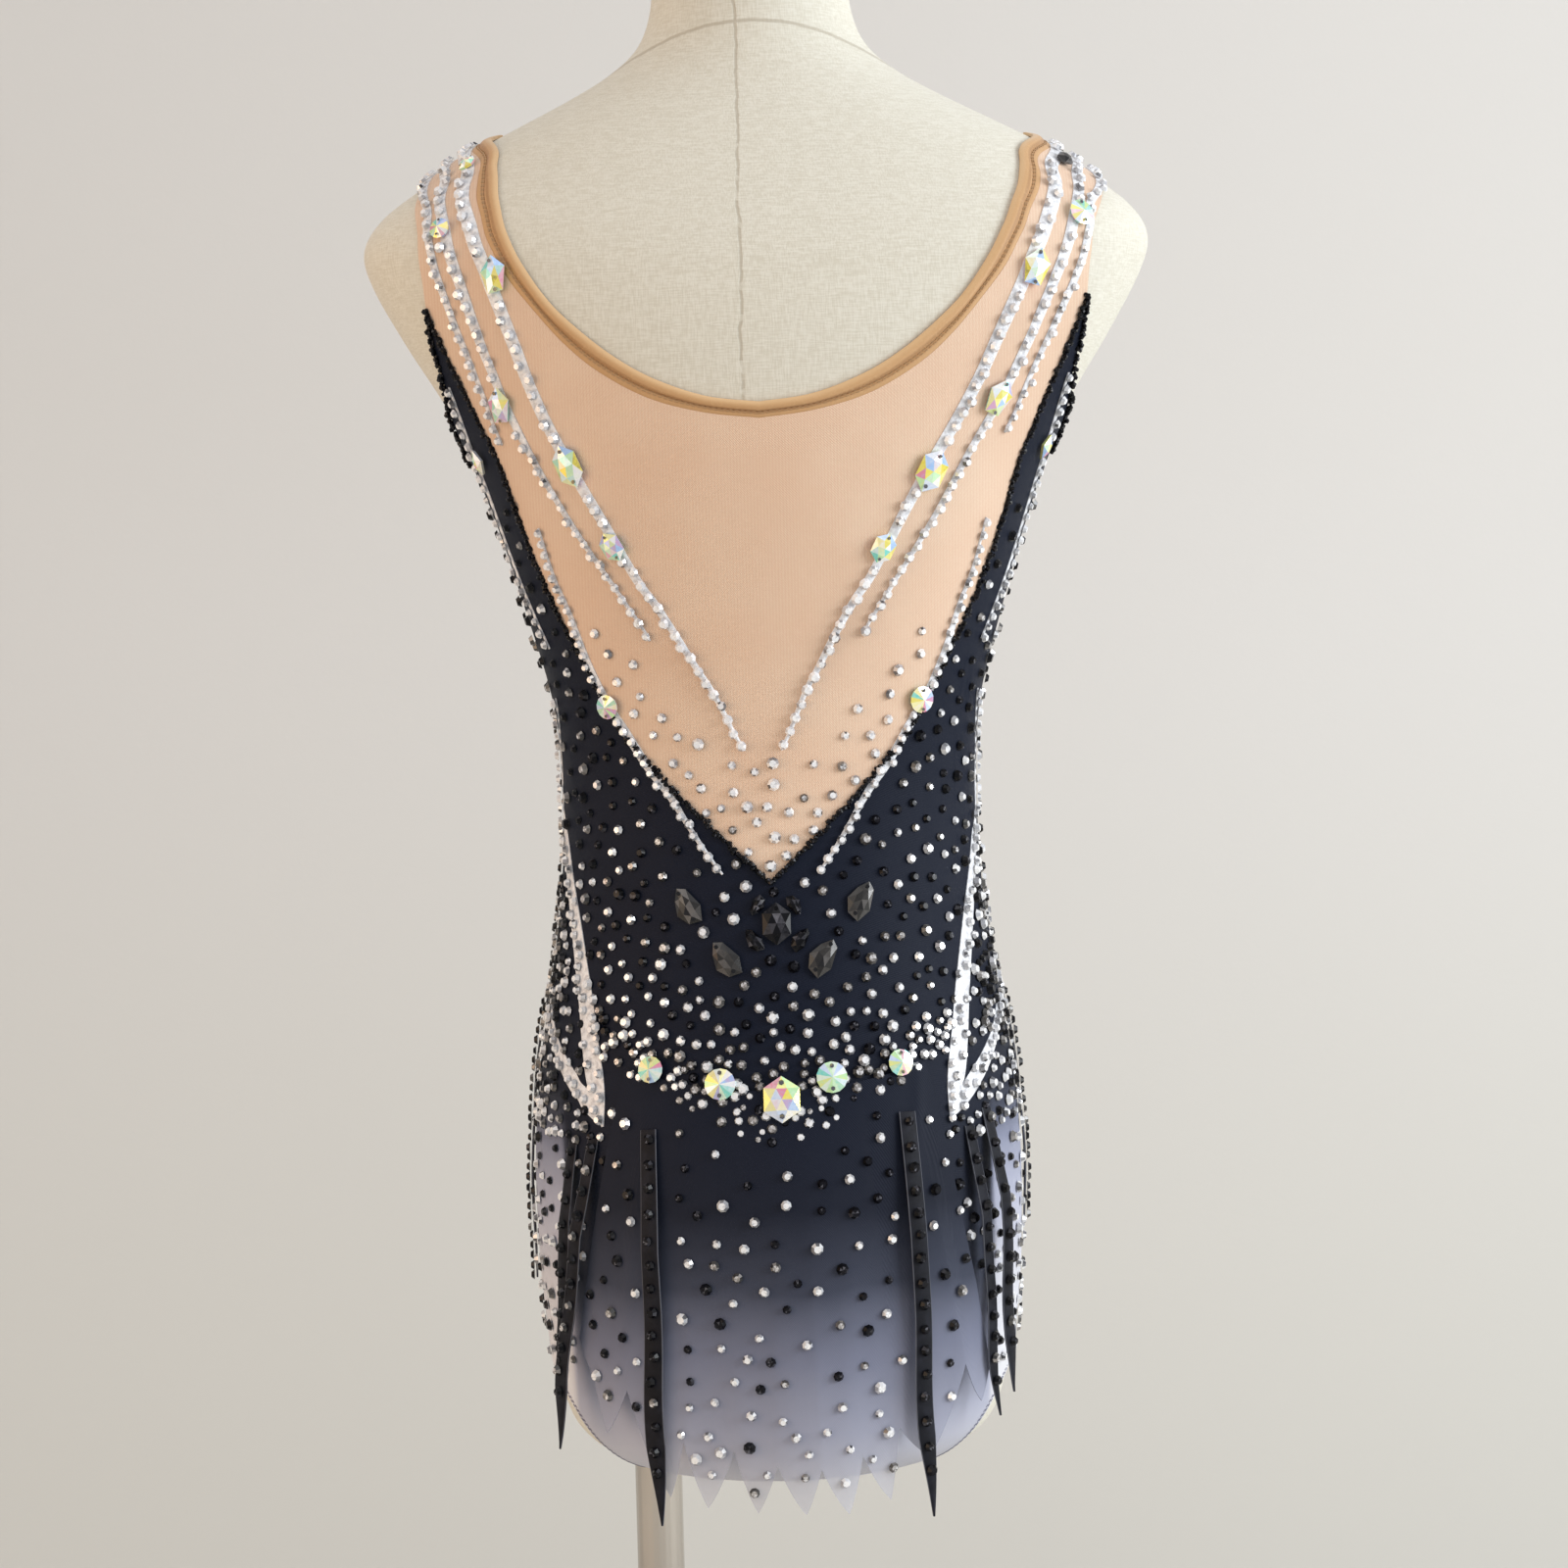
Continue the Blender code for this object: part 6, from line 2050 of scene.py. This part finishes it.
def main() -> None:
    """Build the studio, the form and the garment in order."""
    Studio().build()
    DressForm().build()
    back = Yoke(Side.BACK, BACK_NECK_INNER, BACK_NECK_OUTER, BACK_BLACK_EDGE, BACK_ARM_UP)
    front = Yoke(Side.FRONT, FRONT_NECK_INNER, FRONT_NECK_OUTER, FRONT_BLACK_EDGE, FRONT_ARM_UP,
                 seam_steps=50)
    back.build()
    front.build()
    Body(Side.BACK, back.seam, BACK_ARM_DOWN, BACK_FOLDS, 90, 12).build()
    Body(Side.FRONT, front.seam, FRONT_ARM_DOWN, FRONT_FOLDS, 84, 11).build()
    Gusset().build()
    bands = []
    for side, sign in (("left", -1), ("right", 1)):
        for name, stripes in (("band_inner_", INNER_BAND), ("band_middle_", MIDDLE_BAND),
                              ("band_outer_", OUTER_BAND), ("flash_arm_", ARM_FLASH),
                              ("flash_v_", V_FLASH), ("flash_hip_inner_", HIP_INNER),
                              ("flash_hip_outer_", HIP_OUTER)):
            bands.append(Band(name + side, stripes, sign))
    for band in bands:
        band.build()
    skirts = {
        Side.BACK: Skirt(Side.BACK, BACK_HEM, "skirt_back", folds=(
            Fold(56, 400, 86, 90, 3, 0.9), Fold(-66, 380, 84, 60, 4, 0.9), Fold(-18, 330, 95, 50, 6, 0.5),
            Fold(26, 320, 88, 55, 6, 0.5), Fold(78, 360, 82, 50, 4, 0.8))),
        Side.FRONT: Skirt(Side.FRONT, FRONT_HEM, "skirt_front", folds=(
            Fold(-40, 380, 95, 60, 5, 0.7), Fold(12, 360, 88, 70, 6, 0.6), Fold(58, 370, 84, 60, 5, 0.7))),
    }
    for skirt in skirts.values():
        skirt.build()
    ribbons = [Ribbon(name, Side(row[0]), *row[1:]) for name, row in RIBBONS.items()]
    for name, (sign, tip) in SIDE_RIBBONS.items():
        ribbons.append(SideRibbon(name, Side.BACK, 0, SIDE_RIBBON_TOP, 0, tip, SIDE_RIBBON_WIDTH,
                                  SIDE_RIBBON_WIDTH, 0, sign=sign))
    for ribbon in ribbons:
        ribbon.build()
    jeweller = Jeweller(skirts)
    jeweller.large()
    jeweller.bands(bands)
    jeweller.ribbons(ribbons)
    jeweller.nude()
    jeweller.body()
    jeweller.skirt(Side.BACK)
    jeweller.skirt(Side.FRONT)
    jeweller.front()
    seam = [np.column_stack([back.seam[:, 0] * sign, back.seam[:, 1]]) for sign in (-1, 1)]
    seam += [np.column_stack([180 - front.seam[:, 0] * sign, front.seam[:, 1]]) for sign in (-1, 1)]
    jeweller.trim("black_edge", seam * 2, 1.5, 2.3, 0.5)
    arms = []
    for sign in (-1, 1):
        wing = SKIN.edge(BACK_ARM_DOWN, 40, UNDERARM_HEIGHT)
        arms.append(np.column_stack([wing[:, 0] * sign, wing[:, 1]]))
        wing = SKIN.edge(FRONT_ARM_DOWN, 40, UNDERARM_HEIGHT)
        arms.append(np.column_stack([(180 - wing[:, 0]) * sign, wing[:, 1]]))
    jeweller.trim("armholes", arms * 2, 1.6, 2.4, 0.4)


if __name__ == "__main__":
    main()
